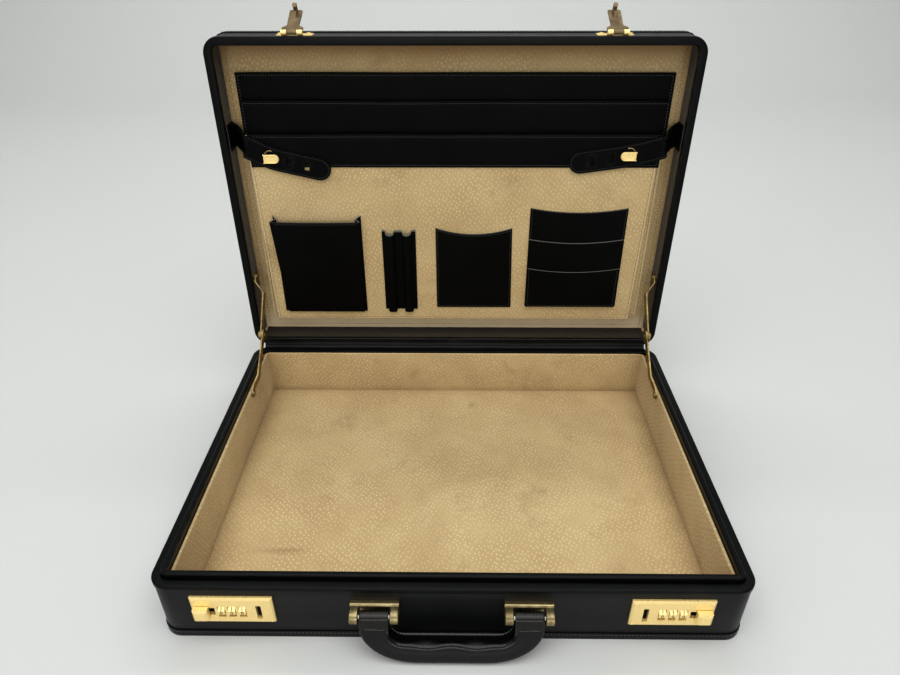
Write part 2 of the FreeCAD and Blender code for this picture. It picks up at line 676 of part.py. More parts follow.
def handle_brackets():
    """A wall plate with two rounded lugs and a bar along its top edge."""
    body = new_body("handle_bracket")
    left, right = "bracket_centre - bracket_width / 2", "bracket_centre + bracket_width / 2"
    low = "handle_pin_level + 6.8 - bracket_height"
    high = "handle_pin_level + 6.8"
    plate_front = f"{LEATHER_FACE} - bracket_plate"
    add(body, "XZ", plate_front, "bracket_plate", rectangle(left, right, low, high))
    add(body, "YZ", left, "bracket_width", circle(f"{plate_front} - 0.4", f"{high} - 2", 2))
    lug_low, lug_high = "handle_pin_level - lug_radius", "handle_pin_level + lug_radius"
    for start in (left, f"{right} - lug_width"):
        web = rectangle(PIN_Y, f"{plate_front} + 0.5", lug_low, lug_high)
        add(body, "YZ", start, "lug_width", web)
        add(body, "YZ", start, "lug_width", circle(PIN_Y, "handle_pin_level", "lug_radius"))
    pin_hole = circle(PIN_Y, "handle_pin_level", "handle_pin_radius")
    cut(body, "YZ", f"{left} + {PIN_IN}", f"bracket_width - 2 * {PIN_IN}", pin_hole)
    lug_sides = edges_at("x", left, f"{left} + lug_width", right, f"{right} - lug_width")
    nose = number(f"{PIN_Y} - lug_radius")

    def lug_nose_edge(edge):
        return lug_sides(edge) and edge.BoundBox.YMin < nose + 1e-3

    dress(body, "Fillet", 0.8, lug_nose_edge)
    both_sides("handle_brackets", body)


def handle_pins():
    body = new_body("handle_pin")
    start = f"bracket_centre - bracket_width / 2 + {PIN_IN}"
    pin = circle(PIN_Y, "handle_pin_level", "handle_pin_radius")
    add(body, "YZ", start, f"bracket_width - 2 * {PIN_IN}", pin)
    both_sides("handle_pins", body)


HANDLE_PLACE = FreeCAD.Placement(
    Vector(0, number(PIN_Y), number("handle_pin_level")),
    Rotation(Vector(1, 0, 0), -number("handle_rest_angle")),
)


def handle_end_loops():
    """Leather loops around the pins, drawn with the handle hanging straight down from its pin."""
    body = new_body("handle_loop")
    left = "bracket_centre - loop_width / 2"
    tongue = rectangle("-loop_thickness / 2", "loop_thickness / 2", "-loop_length", "0")
    add(body, "YZ", left, "loop_width", tongue)
    add(body, "YZ", left, "loop_width", circle("0", "0", "loop_thickness / 2"))
    cut(body, "YZ", left, "loop_width", circle("0", "0", "handle_pin_radius + handle_clearance"))
    pair = both_sides("handle_end_loops", body)
    pair.Placement = HANDLE_PLACE


def handle_grip():
    """The padded grip, an arch whose ends turn up to the loops."""
    body = new_body("handle_grip")
    outer, bottom = "handle_width / 2", "-handle_reach"
    inner = "bracket_centre - loop_width / 2"
    grip_top = "grip_height - handle_reach"
    add(
        body, "XZ", "-grip_thickness / 2", "grip_thickness",
        mirrored_outline(
            ("handle_width / 2 - 27", bottom),
            (outer, "-handle_reach + 21"),
            (outer, "-loop_length"),
            (inner, "-loop_length"),
            (inner, f"{grip_top} + 5"),
            (f"{inner} - 9", grip_top),
        ),
    )
    turn = number("-handle_reach + 21")

    def crosswise(edge):
        box = edge.BoundBox
        outer_turn = abs(box.ZMin - turn) < 1e-3 or abs(box.ZMin - number(bottom)) < 1e-3
        return outer_turn and abs(box.ZMax - box.ZMin) < 1e-3 and abs(box.XMax - box.XMin) < 1e-3

    on_a_face = edges_at("y", "-grip_thickness / 2", "grip_thickness / 2")
    below_loops = number("-loop_length - 3")

    def along_the_grip(edge):
        return on_a_face(edge) and edge.BoundBox.ZMin < below_loops

    dress(body, "Fillet", 14, crosswise)
    dress(body, "Fillet", 5.5, along_the_grip)
    keep("handle_grip", body, HANDLE_PLACE)


# ---------------------------------------------------------------- lid

LID_FRAME_INNER = f"{FRAME_FACE} + lid_wall"
LID_LINING_INNER = f"{LID_FRAME_INNER} + lid_lining"
PANEL_TOP = "lid_height - leather - board"


def lid_shell():
    """The lid's frame, top board and leathers, in the same order as the tray's."""
    top_leather = new_body("lid_top_leather")
    add(top_leather, "XY", "lid_height - leather", "leather", lid_plan("0", "corner_radius"))
    inner = lid_plan(SIDE_FACE, outer_radius(SIDE_FACE))
    add(top_leather, "XY", "lid_height - wrap_height", "wrap_height", lid_plan("0", "corner_radius"), inner)
    keep("lid_top_leather", dress(top_leather, "Fillet", 0.6, edges_at("z", "lid_height")), LID_PLACE)

    top_board = new_body("lid_top_board")
    add(top_board, "XY", PANEL_TOP, "board", lid_plan(FRAME_FACE, outer_radius(FRAME_FACE)))
    keep("lid_top_board", top_board, LID_PLACE)

    frame = new_body("lid_wall_frame")
    frame_outside = lid_plan(FRAME_FACE, outer_radius(FRAME_FACE))
    frame_inside = lid_plan(LID_FRAME_INNER, "inner_corner")
    add(frame, "XY", "rim_height", f"{PANEL_TOP} - rim_height", frame_outside, frame_inside)
    keep("lid_wall_frame", frame, LID_PLACE)

    side_leather = new_body("lid_side_leather")
    height = "lid_height - leather - rim_height"
    side_outside = lid_plan(SIDE_FACE, outer_radius(SIDE_FACE))
    add(side_leather, "XY", "rim_height", height, side_outside, frame_outside)
    keep("lid_side_leather", side_leather, LID_PLACE)


def lid_rim():
    """The rim bead that meets the tray's, lowered at the rear for the hinge leaf."""
    body = new_body("lid_rim")
    outside, inside = lid_plan("0", "corner_radius"), lid_plan("rim_width", "inner_corner")
    add(body, "XY", "rim_gap", "rim_height - rim_gap", outside, inside)
    dress(body, "Fillet", "rim_bead", edges_at("z", "rim_gap"))
    recess = rectangle(
        "-hinge_length / 2 - knuckle_gap",
        "hinge_length / 2 + knuckle_gap",
        f"{LID_REAR} - leaf_width",
        f"{LID_REAR} + leaf_width",
    )
    keep("lid_rim", cut(body, "XY", "knuckle_radius - rim_height", "rim_height", recess), LID_PLACE)


def lid_linings():
    """A dark lining around the walls and a suede-faced panel over the top board."""
    walls = new_body("lid_lining_walls")
    height = f"{PANEL_TOP} - lid_panel - rim_height"
    inner = lid_plan(LID_LINING_INNER, "inner_corner - lid_lining")
    add(walls, "XY", "rim_height", height, lid_plan(LID_FRAME_INNER, "inner_corner"), inner)
    keep("lid_lining_walls", walls, LID_PLACE)
    panel = new_body("lid_lining_panel")
    add(panel, "XY", f"{PANEL_TOP} - lid_panel", "lid_panel", lid_plan(LID_FRAME_INNER, "inner_corner"))
    keep("lid_lining_panel", panel, LID_PLACE)


# ---------------------------------------------------------------- hasps

LID_LEATHER_FACE = f"{LID_FRONT} + side_inset"
HASP_PIVOT_Y = f"{LID_FRONT} - hasp_pivot_out"
BASE_FACE = f"{LID_LEATHER_FACE} - base_plate"
BASE_INNER, BASE_OUTER = "hasp_centre - 18", "hasp_centre + 15"
SCREW_PLACES = ("hasp_centre - 14", "hasp_centre + 12.4")


def hasp_place(angle):
    """The hasp is drawn hanging closed from its pivot and then turned open with the lid."""
    pivot = Vector(0, number(HASP_PIVOT_Y), number("hasp_pivot_depth"))
    swing = FreeCAD.Placement(pivot, Rotation(Vector(1, 0, 0), -angle))
    return LID_PLACE.multiply(swing)


def hasps():
    """A plate with wide shoulders at its knuckle and, near its tip, the hook that enters the slot."""
    body = new_body("hasp")
    back = "hasp_thickness / 2 - 0.35"
    top = "-hasp_barrel - 1"
    half_outline = [
        ("hasp_knuckle", "0"), ("hasp_knuckle", top), ("hasp_width / 2", top),
        ("hasp_width / 2", "-hasp_shoulder"), ("hasp_waist / 2", "-hasp_shoulder - 3"),
        ("hasp_tip_width / 2", "-hasp_length + 1"), ("hasp_tip_width / 2 - 1", "-hasp_length"),
    ]
    right_half = [(f"hasp_centre + {x}", z) for x, z in half_outline]
    left_half = [(f"hasp_centre - ({x})", z) for x, z in reversed(half_outline)]
    add(body, "XZ", f"{back} - hasp_thickness", "hasp_thickness", outline(*right_half, *left_half))
    knuckle_start = "hasp_centre - hasp_knuckle"
    add(body, "YZ", knuckle_start, "2 * hasp_knuckle", circle("0", "0", "hasp_barrel"))
    bore = circle("0", "0", "hasp_pin_radius + rivet_clearance")
    cut(body, "YZ", "hasp_centre - hasp_width / 2", "hasp_width", bore)
    hook = outline(
        ("0", "-hook_far"), (f"{back} + hook_reach", "-hook_far + 0.4"),
        (f"{back} + hook_reach", "-hook_far + 3.4"), (f"{back} + 6.2", "-hook_far + 4.4"),
        (f"{back} + 5.6", "-hook_far + 2.4"), (f"{back} + 3.6", "-hook_far + 2.4"),
        (f"{back} + 3.6", "-hook_near - 3"), ("0", "-hook_near"),
    )
    add(body, "YZ", "hasp_centre - hook_width / 2", "hook_width", hook)
    right = keep("right_hasp", body, hasp_place(number("hasp_open_angle")))
    keep("left_hasp", mirror(right, "left_hasp"))


def hasp_bases():
    """Base plates on the lid front, whose necks carry two knuckles either side of the hasp's, and
    the pins through them. A base reaches further towards the middle of the case."""
    body = new_body("hasp_base")
    screw_holes = [circle(x, "screw_level", "screw_radius") for x in SCREW_PLACES]
    plate = rectangle(BASE_INNER, BASE_OUTER, "5.2", "15")
    add(body, "XZ", BASE_FACE, "base_plate", plate, *screw_holes)
    neck = outline(
        (LID_LEATHER_FACE, "5.6"), (f"{HASP_PIVOT_Y} + 0.4", "hasp_pivot_depth - 0.4"),
        (f"{HASP_PIVOT_Y} - 1.2", "hasp_pivot_depth + 1.6"), (BASE_FACE, "8.4"),
        (LID_LEATHER_FACE, "8.4"),
    )
    side_play = "0.2"
    inner_knuckle = f"hasp_centre - hasp_knuckle - {side_play} - base_knuckle"
    outer_knuckle = f"hasp_centre + hasp_knuckle + {side_play}"
    for start in (inner_knuckle, outer_knuckle):
        add(body, "YZ", start, "base_knuckle", neck)
        add(body, "YZ", start, "base_knuckle", circle(HASP_PIVOT_Y, "hasp_pivot_depth", "hasp_barrel"))
    pin_outline = circle(HASP_PIVOT_Y, "hasp_pivot_depth", "hasp_pin_radius")
    pin_length = f"2 * (hasp_knuckle + {side_play} + base_knuckle)"
    cut(body, "YZ", inner_knuckle, pin_length, pin_outline)
    both_sides("hasp_bases", body).Placement = LID_PLACE

    pin = new_body("hasp_pin")
    add(pin, "YZ", inner_knuckle, pin_length, pin_outline)
    both_sides("hasp_pins", pin).Placement = LID_PLACE


def hasp_base_screws():
    """Slotted screws through the base plates into the lid's frame."""
    screws = []
    for index, x in enumerate(SCREW_PLACES):
        screw = new_body(f"hasp_screw_{index}")
        add(screw, "XZ", BASE_FACE, 5, circle(x, "screw_level", "screw_radius"))
        add(screw, "XZ", f"{BASE_FACE} - 0.9", 0.9, circle(x, "screw_level", "2 * screw_radius"))
        slot = rectangle(f"{x} - 2.4", f"{x} + 2.4", "screw_level - 0.3", "screw_level + 0.3")
        cut(screw, "XZ", f"{BASE_FACE} - 1", 0.5, slot)
        screws += [screw, mirror(screw, f"{screw.Name}_left")]
    group = document.addObject("Part::Compound", "hasp_base_screws")
    group.Links = screws
    keep("hasp_base_screws", group, LID_PLACE)


# ---------------------------------------------------------------- folding stays

def stay_geometry():
    """Pivot places and arm directions in the plane of the stay, as (y, z), from the equal radii of
    the two pivots about the hinge axis. The elbow folds towards the hinge."""
    radius, drop, depth = number("stay_radius"), number("stay_drop"), number("stay_depth")
    tray_pivot = Vector(0, HINGE_Y - math.sqrt(radius**2 - drop**2), HINGE_Z - drop)
    lid_pivot = Vector(0, HINGE_Y + depth, HINGE_Z + math.sqrt(radius**2 - depth**2))
    span = lid_pivot - tray_pivot
    bend = math.radians(number("stay_bend"))
    length = span.Length / 2 / math.cos(bend)
    slope = math.degrees(math.atan2(span.z, span.y))
    bend = math.degrees(bend)
    return tray_pivot, lid_pivot, length, slope - bend, slope + 180 + bend


def stay_arm(name, near, far, length, disc_side, disc_radius):
    """A joggled strip along +Y from its pivot, with a disc at the elbow. near and far are where its
    inner face lies at the pivot and at the elbow."""
    body = new_body(name)
    thick = "stay_thickness"
    bends = [(near, "0"), (near, "7"), (far, "19"), (far, f"{length}")]
    strip = outline(*bends, *[(f"{x} + {thick}", along) for x, along in reversed(bends)])
    add(body, "XY", "-stay_width / 2", "stay_width", strip)
    add(body, "YZ", near, thick, circle("0", "0", "stay_width / 2"))
    disc_start = f"{far} - 1.2" if disc_side < 0 else far
    add(body, "YZ", disc_start, f"{thick} + 1.2", circle(f"{length}", "0", disc_radius))
    head_start = f"{far} - 2.2" if disc_side < 0 else f"{far} + {thick} + 0.8"
    add(body, "YZ", head_start, 1.4, circle(f"{length}", "0", 3.2))
    cut(body, "YZ", f"{near} - 2", f"{thick} + 4", circle("0", "0", "rivet_radius + rivet_clearance"))
    return body


def stays():
    tray_pivot, lid_pivot, length, lower_angle, upper_angle = stay_geometry()
    lower = stay_arm("stay_lower", "stay_tray_side", "stay_middle_side", length, -1, "stay_disc_radius")
    lower.Placement = FreeCAD.Placement(tray_pivot, Rotation(Vector(1, 0, 0), lower_angle))
    left_and_right("stay_lower", lower)
    elbow_side = "stay_middle_side + stay_thickness + stay_gap"
    upper = stay_arm("stay_upper", "stay_lid_side", elbow_side, length, 1, "stay_width / 2 + 1")
    upper.Placement = FreeCAD.Placement(lid_pivot, Rotation(Vector(1, 0, 0), upper_angle))
    left_and_right("stay_upper", upper)

    places = [("stay_tray_rivets", tray_pivot, "stay_tray_side", f"{HALF_WIDTH} - ({LINING_INNER})")]
    places.append(("stay_lid_rivets", lid_pivot, "stay_lid_side", f"{HALF_WIDTH} - ({LID_LINING_INNER})"))
    for label, pivot, arm_side, wall in places:
        rivet = new_body(f"{label}_right")
        head, arm_out = f"{arm_side} - 1.1", f"{arm_side} + stay_thickness + 0.1"
        flange = circle("0", "0", "2 * rivet_radius")
        add(rivet, "YZ", head, f"{wall} + 3.5 - ({head})", circle("0", "0", "rivet_radius"))
        add(rivet, "YZ", head, 1, flange)
        add(rivet, "YZ", arm_out, f"{wall} - ({arm_out})", flange)
        rivet.Placement = FreeCAD.Placement(pivot, Rotation())
        both_sides(label, rivet)


# ---------------------------------------------------------------- organiser in the lid

BOARD_BACK = "front_board_depth + divider"


def board_rectangle(half_width, top):
    return rectangle(f"-({half_width})", half_width, f"-({top})", "-divider_foot")


def dividers():
    """Three file boards, one behind another, each shorter than the one behind it. The front one
    narrows towards its foot."""
    rear = new_body("rear_divider")
    rear_face = board_rectangle("divider_half_width + 7", "rear_board_top")
    add(rear, "XY", "rear_board_depth", "divider", rear_face)
    keep("rear_divider", rear, LID_PLACE)
    middle = new_body("middle_divider")
    middle_face = board_rectangle("divider_half_width + 5", "middle_board_top")
    add(middle, "XY", "middle_board_depth", "divider", middle_face)
    keep("middle_divider", middle, LID_PLACE)
    front = new_body("organiser_board")
    top, narrow = "-(front_board_top - leather)", "divider_half_width - divider_taper"
    front_face = outline(
        ("-divider_half_width", top), ("divider_half_width", top),
        (narrow, "-divider_foot"), (f"-({narrow})", "-divider_foot"),
    )
    add(front, "XY", "front_board_depth", "divider", front_face)
    keep("organiser_board", front, LID_PLACE)


def organiser_band():
    """The leather band along the front board, folded over its top edge."""
    body = new_body("organiser_band")
    side = "divider_half_width + 1"
    face = rectangle(f"-({side})", side, "-front_board_top", "-front_board_top + band_height")
    add(body, "XY", "front_board_depth - leather", "leather", face)
    fold = rectangle(f"-({side})", side, "-front_board_top", "-front_board_top + leather")
    add(body, "XY", "front_board_depth - leather", "divider + 2 * leather", fold)
    behind = rectangle(f"-({side})", side, "-front_board_top", "-front_board_top + 10")
    add(body, "XY", BOARD_BACK, "leather", behind)
    keep("organiser_band", body, LID_PLACE)


def pocket_box(label, left, right, foot, top, depth):
    """A pocket on the front board: a face, two sides and a foot, open at the top."""
    body = new_body(label)
    near = f"front_board_depth - ({depth})"
    add(body, "XY", near, depth, rectangle(left, right, f"-({top})", f"-({foot})"))
    hollow = rectangle(
        f"{left} + pocket_leather", f"{right} - pocket_leather", f"-({top})", f"-({foot}) - pocket_leather"
    )
    cut(body, "XY", f"{near} + pocket_leather", depth, hollow)
    return body


def pockets():
    """Calculator pocket, pen holder, note pocket and three-tier card pocket, placed by their feet
    above the hinge axis."""
    calculator = pocket_box("calculator_pocket", "-193", "-100", "41", "156", "9")
    keep("calculator_pocket", calculator, LID_PLACE)

    pen_depth, pen_foot, pen_top = "6", "42", "141"
    pens = pocket_box("pen_holder", "-78.5", "-40.5", pen_foot, pen_top, pen_depth)
    rib = rectangle("-61", "-58", f"-{pen_top}", f"-{pen_foot}")
    rib_start = f"front_board_depth - {pen_depth} + pocket_leather"
    add(pens, "XY", rib_start, f"{pen_depth} - pocket_leather", rib)
    keep("pen_holder", pens, LID_PLACE)

    note = pocket_box("note_pocket", "-20", "62.5", "47", "143", "2.2")
    keep("note_pocket", note, LID_PLACE)

    cards = new_body("card_pockets")
    left, right, foot = "79.5", "181.5", "-49"
    tier_tops, step = ("-165.5", "-131", "-97"), 1.4
    for tier, top in enumerate(tier_tops, 1):
        tier_face = rectangle(left, right, top, foot)
        add(cards, "XY", f"front_board_depth - {step * tier}", "pocket_leather", tier_face)
    deep = f"{step * len(tier_tops)}"
    edges = [rectangle(left, f"{left} + 1.5", tier_tops[-1], foot)]
    edges.append(rectangle(f"{right} - 1.5", right, tier_tops[-1], foot))
    edges.append(rectangle(left, right, f"{foot} - 2", foot))
    for edge in edges:
        add(cards, "XY", f"front_board_depth - {deep}", deep, edge)
    keep("card_pockets", cards, LID_PLACE)


# side, turn button from the middle and above the hinge axis, slope of the strap, its free length
STRAPS = (
    ("left", -184.5, 218, 13, 61),
    ("right", 174, 221, 172, 60),
)
STRAP_FACE = "front_board_depth - leather - 0.05 - strap_thickness"
STRAP_FOLD = 26
SLOTS = (0, 18, 37)


def organiser_straps():
    """Two straps over the band, each drawn about its turn button with its rounded free end towards
    +X. The turn button's level head stands in front of the strap, and its post passes through a
    slot."""
    straps = []
    for side, x, height, slope, reach in STRAPS:
        turned = FreeCAD.Placement(Vector(x, -height, number(STRAP_FACE)), Rotation(Vector(0, 0, 1), slope))
        place = LID_PLACE.multiply(turned)
        half = "strap_width / 2"

        strap = new_body(f"{side}_strap")
        round_end = f"{reach} - {half}"
        add(strap, "XY", 0, "strap_thickness", rectangle(-STRAP_FOLD, round_end, f"-{half}", half))
        add(strap, "XY", 0, "strap_thickness", circle(round_end, "0", f"{half} - 0.01"))
        slots = [
            rectangle(f"{at} - strap_slot / 2", f"{at} + strap_slot / 2", "-4.8", "4.8") for at in SLOTS
        ]
        cut(strap, "XY", -1, "strap_thickness + 2", *slots)
        strap.Placement = place
        straps.append(strap)

        level = FreeCAD.Placement(turned.Base, Rotation(Vector(0, 0, 1), 0 if side == "left" else 180))
        button = new_body(f"{side}_turn_button")
        nose = "turn_head - turn_tail - turn_width / 2"
        head = rectangle("-turn_tail", nose, "-turn_width / 2", "turn_width / 2")
        add(button, "XY", -2.4, 1.6, head)
        add(button, "XY", -2.4, 1.6, circle(nose, "0", "turn_width / 2 - 0.01"))
        add(button, "XY", -0.9, "strap_thickness + 0.9", circle("0", "0", 1.5))
        dress(button, "Fillet", 0.5, edges_at("z", "-2.4"))
        keep(f"{side}_turn_button", button, LID_PLACE.multiply(level))
    group = document.addObject("Part::Compound", "organiser_straps")
    group.Links = straps
    keep("organiser_straps", group)


def strap_anchors():
    """Leather tabs on the lid's side walls that the straps spring from."""
    body = new_body("strap_anchor")
    wall = f"{HALF_WIDTH} - ({LID_LINING_INNER})"
    levels = ("-anchor_high", "-anchor_low")
    add(body, "XY", STRAP_FACE, 19.5, rectangle(f"{wall} - 1.4", wall, *levels))
    add(body, "XY", STRAP_FACE, "strap_thickness", rectangle("213.6", wall, *levels))
    both_sides("strap_anchors", body).Placement = LID_PLACE


# ---------------------------------------------------------------- build and write

for build in (
    tray_base_leather, tray_base_board, tray_wall_frame, tray_side_leather, tray_rim, tray_lip,
    tray_lining_walls, tray_lining_floor, hinge, hinge_leather, lock_plates, lock_plate_rivets,
    lock_cases, dial_shafts, dials, slide_buttons, lock_bolts, handle_brackets, handle_pins,
    handle_end_loops, handle_grip, lid_shell, lid_rim, lid_linings, hasps, hasp_bases,
    hasp_base_screws, stays, dividers, organiser_band, pockets, organiser_straps, strap_anchors,
):
    build()
document.recompute()

for thing in document.Objects:
    if {"Invalid", "Error"} & set(thing.State):
        raise RuntimeError(f"{thing.Label} failed: {thing.State}")
os.makedirs("parts", exist_ok=True)
for sub_part in sub_parts:
    shape = sub_part.Shape
    if shape.isNull() or not shape.isValid() or not shape.Solids:
        raise RuntimeError(f"{sub_part.Label} has no valid solid")
    shape.exportStep(f"parts/{sub_part.Label}.step")
print(len(sub_parts), "sub-parts written")
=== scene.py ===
"""The looks of an open leather attache case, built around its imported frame: linings, boards, bands,
pockets, straps, handle, stitching, dial numerals and every material. Lengths here are millimetres
until make() turns them into a mesh in metres."""

import random
from math import copysign, cos, dist, exp, hypot, pi, radians, sin, sqrt

import bmesh
import bpy
from mathutils import Matrix, Vector, noise


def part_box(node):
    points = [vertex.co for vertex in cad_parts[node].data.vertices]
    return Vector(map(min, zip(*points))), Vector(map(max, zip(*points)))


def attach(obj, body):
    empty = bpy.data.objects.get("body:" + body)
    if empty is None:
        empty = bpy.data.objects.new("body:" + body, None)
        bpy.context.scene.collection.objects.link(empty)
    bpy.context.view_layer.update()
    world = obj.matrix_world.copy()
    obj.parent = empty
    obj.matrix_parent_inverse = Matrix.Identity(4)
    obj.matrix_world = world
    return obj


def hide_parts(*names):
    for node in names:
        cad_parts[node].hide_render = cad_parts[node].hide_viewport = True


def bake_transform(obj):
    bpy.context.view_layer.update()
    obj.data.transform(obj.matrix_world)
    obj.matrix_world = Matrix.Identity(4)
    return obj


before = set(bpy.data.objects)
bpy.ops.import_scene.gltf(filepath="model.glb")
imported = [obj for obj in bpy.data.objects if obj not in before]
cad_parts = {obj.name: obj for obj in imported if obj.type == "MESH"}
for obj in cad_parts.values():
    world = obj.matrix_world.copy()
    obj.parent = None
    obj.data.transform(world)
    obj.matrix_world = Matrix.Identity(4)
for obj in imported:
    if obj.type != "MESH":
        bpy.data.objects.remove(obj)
scene = bpy.context.scene
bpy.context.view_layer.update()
draw = random.Random(7)


def box(node):
    """(low corner, high corner) of a CAD node, in millimetres."""
    low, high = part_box(node)
    return low * 1000, high * 1000


def add_object(name, data):
    """A new object in the scene that shows this data."""
    obj = bpy.data.objects.new(name, data)
    scene.collection.objects.link(obj)
    return obj


# ---- materials


class Shader:
    """One node material, built with short calls."""

    def __init__(self, name):
        self.material = bpy.data.materials.new(name)
        self.material.use_nodes = True
        self.tree = self.material.node_tree
        self.tree.nodes.clear()
        places = self.add("TexCoord")
        self.where = places.outputs["Object"]
        self.flat = places.outputs["UV"]

    def add(self, kind, inputs=None, **settings):
        made = self.tree.nodes.new("ShaderNode" + kind)
        for key, value in settings.items():
            setattr(made, key, value)
        for key, value in (inputs or {}).items():
            socket = made.inputs[key]
            if isinstance(value, bpy.types.NodeSocket):
                self.tree.links.new(value, socket)
            else:
                socket.default_value = value
        return made

    def noise(self, scale, detail=3, rough=0.55, stretch=None):
        where = self.where
        if stretch:
            where = self.add("Mapping", {"Vector": where, "Scale": stretch}).outputs[0]
        inputs = {"Vector": where, "Scale": scale, "Detail": detail, "Roughness": rough}
        return self.add("TexNoise", inputs).outputs["Fac"]

    def fit(self, value, low, high, to_low=0.0, to_high=1.0):
        inputs = {"Value": value, "From Min": low, "From Max": high, "To Min": to_low, "To Max": to_high}
        return self.add("MapRange", inputs, interpolation_type="SMOOTHSTEP").outputs["Result"]

    def calc(self, operation, a, b):
        return self.add("Math", {0: a, 1: b}, operation=operation).outputs[0]

    def mix(self, factor, a, b):
        made = self.add("Mix", data_type="RGBA")
        for key, value in ((0, factor), (6, a), (7, b)):
            if isinstance(value, bpy.types.NodeSocket):
                self.tree.links.new(value, made.inputs[key])
            else:
                made.inputs[key].default_value = (*value, 1) if key else value
        return made.outputs[2]

    def attribute(self, name):
        return self.add("Attribute", attribute_name=name).outputs["Fac"]

    def bump(self, height, depth, strength=1.0, below=None):
        inputs = {"Height": height, "Distance": depth, "Strength": strength}
        if below:
            inputs["Normal"] = below
        return self.add("Bump", inputs).outputs[0]

    def finish(self, **inputs):
        named = {}
        for key, value in inputs.items():
            named[key.replace("_", " ")] = (*value, 1) if isinstance(value, tuple) else value
        shader = self.add("BsdfPrincipled", named)
        self.add("OutputMaterial", {"Surface": shader.outputs[0]})
        return self.material


def leather(name, dark, light, rough, grain, coat, worn, gloss):
    """Smooth finished hide: fine pebbled grain, slow waves, patchy sheen and paler worn edges."""
    s = Shader(name)
    patch = s.noise(26, 3, 0.5)
    fine = s.noise(700, 2)
    color = s.mix(s.fit(patch, 0.3, 0.7), dark, light)
    edge = s.fit(s.add("NewGeometry").outputs["Pointiness"], 0.52, 0.6, 0, worn)
    edge = s.calc("MULTIPLY", edge, s.fit(s.noise(120, 4), 0.35, 0.6))
    color = s.mix(edge, color, (0.11, 0.105, 0.1))
    # raw: pale cut edges; on the rim lines partly a painted highlight
    color = s.mix(s.attribute("raw"), color, (0.20, 0.20, 0.19))
    bent = s.add("Mapping", {"Vector": s.where, "Scale": (1.0, 1.15, 0.9)}).outputs[0]
    spread = {"Vector": bent, "Scale": 1250.0, "Randomness": 1.0}
    cells = s.add("TexVoronoi", spread, feature="DISTANCE_TO_EDGE")
    pebble = s.fit(cells.outputs["Distance"], 0.0, 0.35)
    normal = s.bump(s.noise(16, 3), 0.0006, 0.35 * grain)
    normal = s.bump(s.noise(160, 4), 0.0002, 0.5 * grain, normal)
    normal = s.bump(pebble, 0.00006, 0.5 * grain, normal)
    shine = s.fit(s.noise(48, 5, 0.65), 0.3, 0.72, rough - 0.01, rough + 0.02)
    shine = s.calc("ADD", shine, s.fit(fine, 0.3, 0.7, -0.02, 0.03))
    return s.finish(Base_Color=color, Roughness=shine, Normal=normal, Coat_Weight=coat, Coat_Roughness=0.22,
                    Specular_IOR_Level=gloss)


def suede(name, pale, deep, dot, stain_and_shade):
    """Pebble-embossed suede: staggered pale dots over a mottled brown-stained nap. The piece's tone
    attribute darkens it below zero and lightens it above; it carries stains as well as painted shade
    and painted light."""
    s = Shader(name)
    color = s.mix(s.fit(s.noise(11, 6, 0.62), 0.32, 0.68), deep, pale)
    color = s.mix(s.fit(s.noise(900, 3, 0.7), 0.3, 0.7, 0, 0.28), color, deep)
    slant = {"Vector": s.flat, "Rotation": (0, 0, radians(33)), "Scale": (1.0, 0.72, 1.0)}
    spread = {"Vector": s.add("Mapping", slant).outputs[0], "Scale": 285.0, "Randomness": 0.55}
    cells = s.add("TexVoronoi", spread, voronoi_dimensions="2D")
    dots = s.fit(cells.outputs["Distance"], 0.30, 0.08)
    strength = s.fit(s.noise(28, 4), 0.3, 0.65, 0.3, 0.8)
    color = s.mix(s.calc("MULTIPLY", dots, strength), color, dot)
    blotch = s.calc("MULTIPLY", s.fit(s.noise(19, 5, 0.7), 0.55, 0.75), 0.35)
    color = s.mix(blotch, color, stain_and_shade)
    tone = s.attribute("tone")
    # below zero the tone mixes towards the darkest colour: stains, and painted shade in corners, at wall feet
    # and under rims
    color = s.mix(s.calc("MAXIMUM", s.calc("MULTIPLY", tone, -1.0), 0.0), color, stain_and_shade)
    # above zero it lightens: pale edges, painted highlight and painted light
    color = s.mix(s.calc("MAXIMUM", tone, 0.0), color, (0.80, 0.66, 0.45))
    normal = s.bump(s.noise(60, 3), 0.0006, 0.35)
    normal = s.bump(dots, 0.00035, 0.55, normal)
    normal = s.bump(s.noise(1800, 3, 0.7), 0.00012, 0.6, normal)
    return s.finish(
        Base_Color=color, Roughness=0.93, Normal=normal, Specular_IOR_Level=0.2,
        Sheen_Weight=0.25, Sheen_Roughness=0.5, Sheen_Tint=(0.95, 0.85, 0.7),
    )


def brass(name, bright, patina, rough, age, metal):
    """Lacquered or aged brass: brushing, fine scratches and a browner film where it isn't rubbed."""
    s = Shader(name)
    film = s.fit(s.noise(90, 6, 0.65), 0.62 - age, 0.95 - age)
    rubbed = s.fit(s.add("NewGeometry").outputs["Pointiness"], 0.505, 0.56)
    film = s.calc("MULTIPLY", film, s.calc("SUBTRACT", 1.0, rubbed))
    color = s.mix(film, bright, patina)
    lines = s.noise(90, 4, 0.7, stretch=(6.0, 1.0, 60.0))
    scratch = s.noise(500, 2, stretch=(1.0, 1.0, 0.05))
    shine = s.fit(lines, 0.25, 0.75, rough - 0.06, rough + 0.08)
    shine = s.calc("ADD", shine, s.calc("MULTIPLY", film, 0.16))
    normal = s.bump(lines, 0.00004, 0.5)
    normal = s.bump(scratch, 0.00003, 0.3, normal)
    return s.finish(Base_Color=color, Metallic=metal, Roughness=shine, Normal=normal)


def steel(name):
    s = Shader(name)
    color = s.mix(s.noise(140, 4), (0.36, 0.35, 0.33), (0.55, 0.54, 0.52))
    return s.finish(Base_Color=color, Metallic=1.0, Roughness=s.fit(s.noise(300, 3), 0.3, 0.7, 0.28, 0.45))


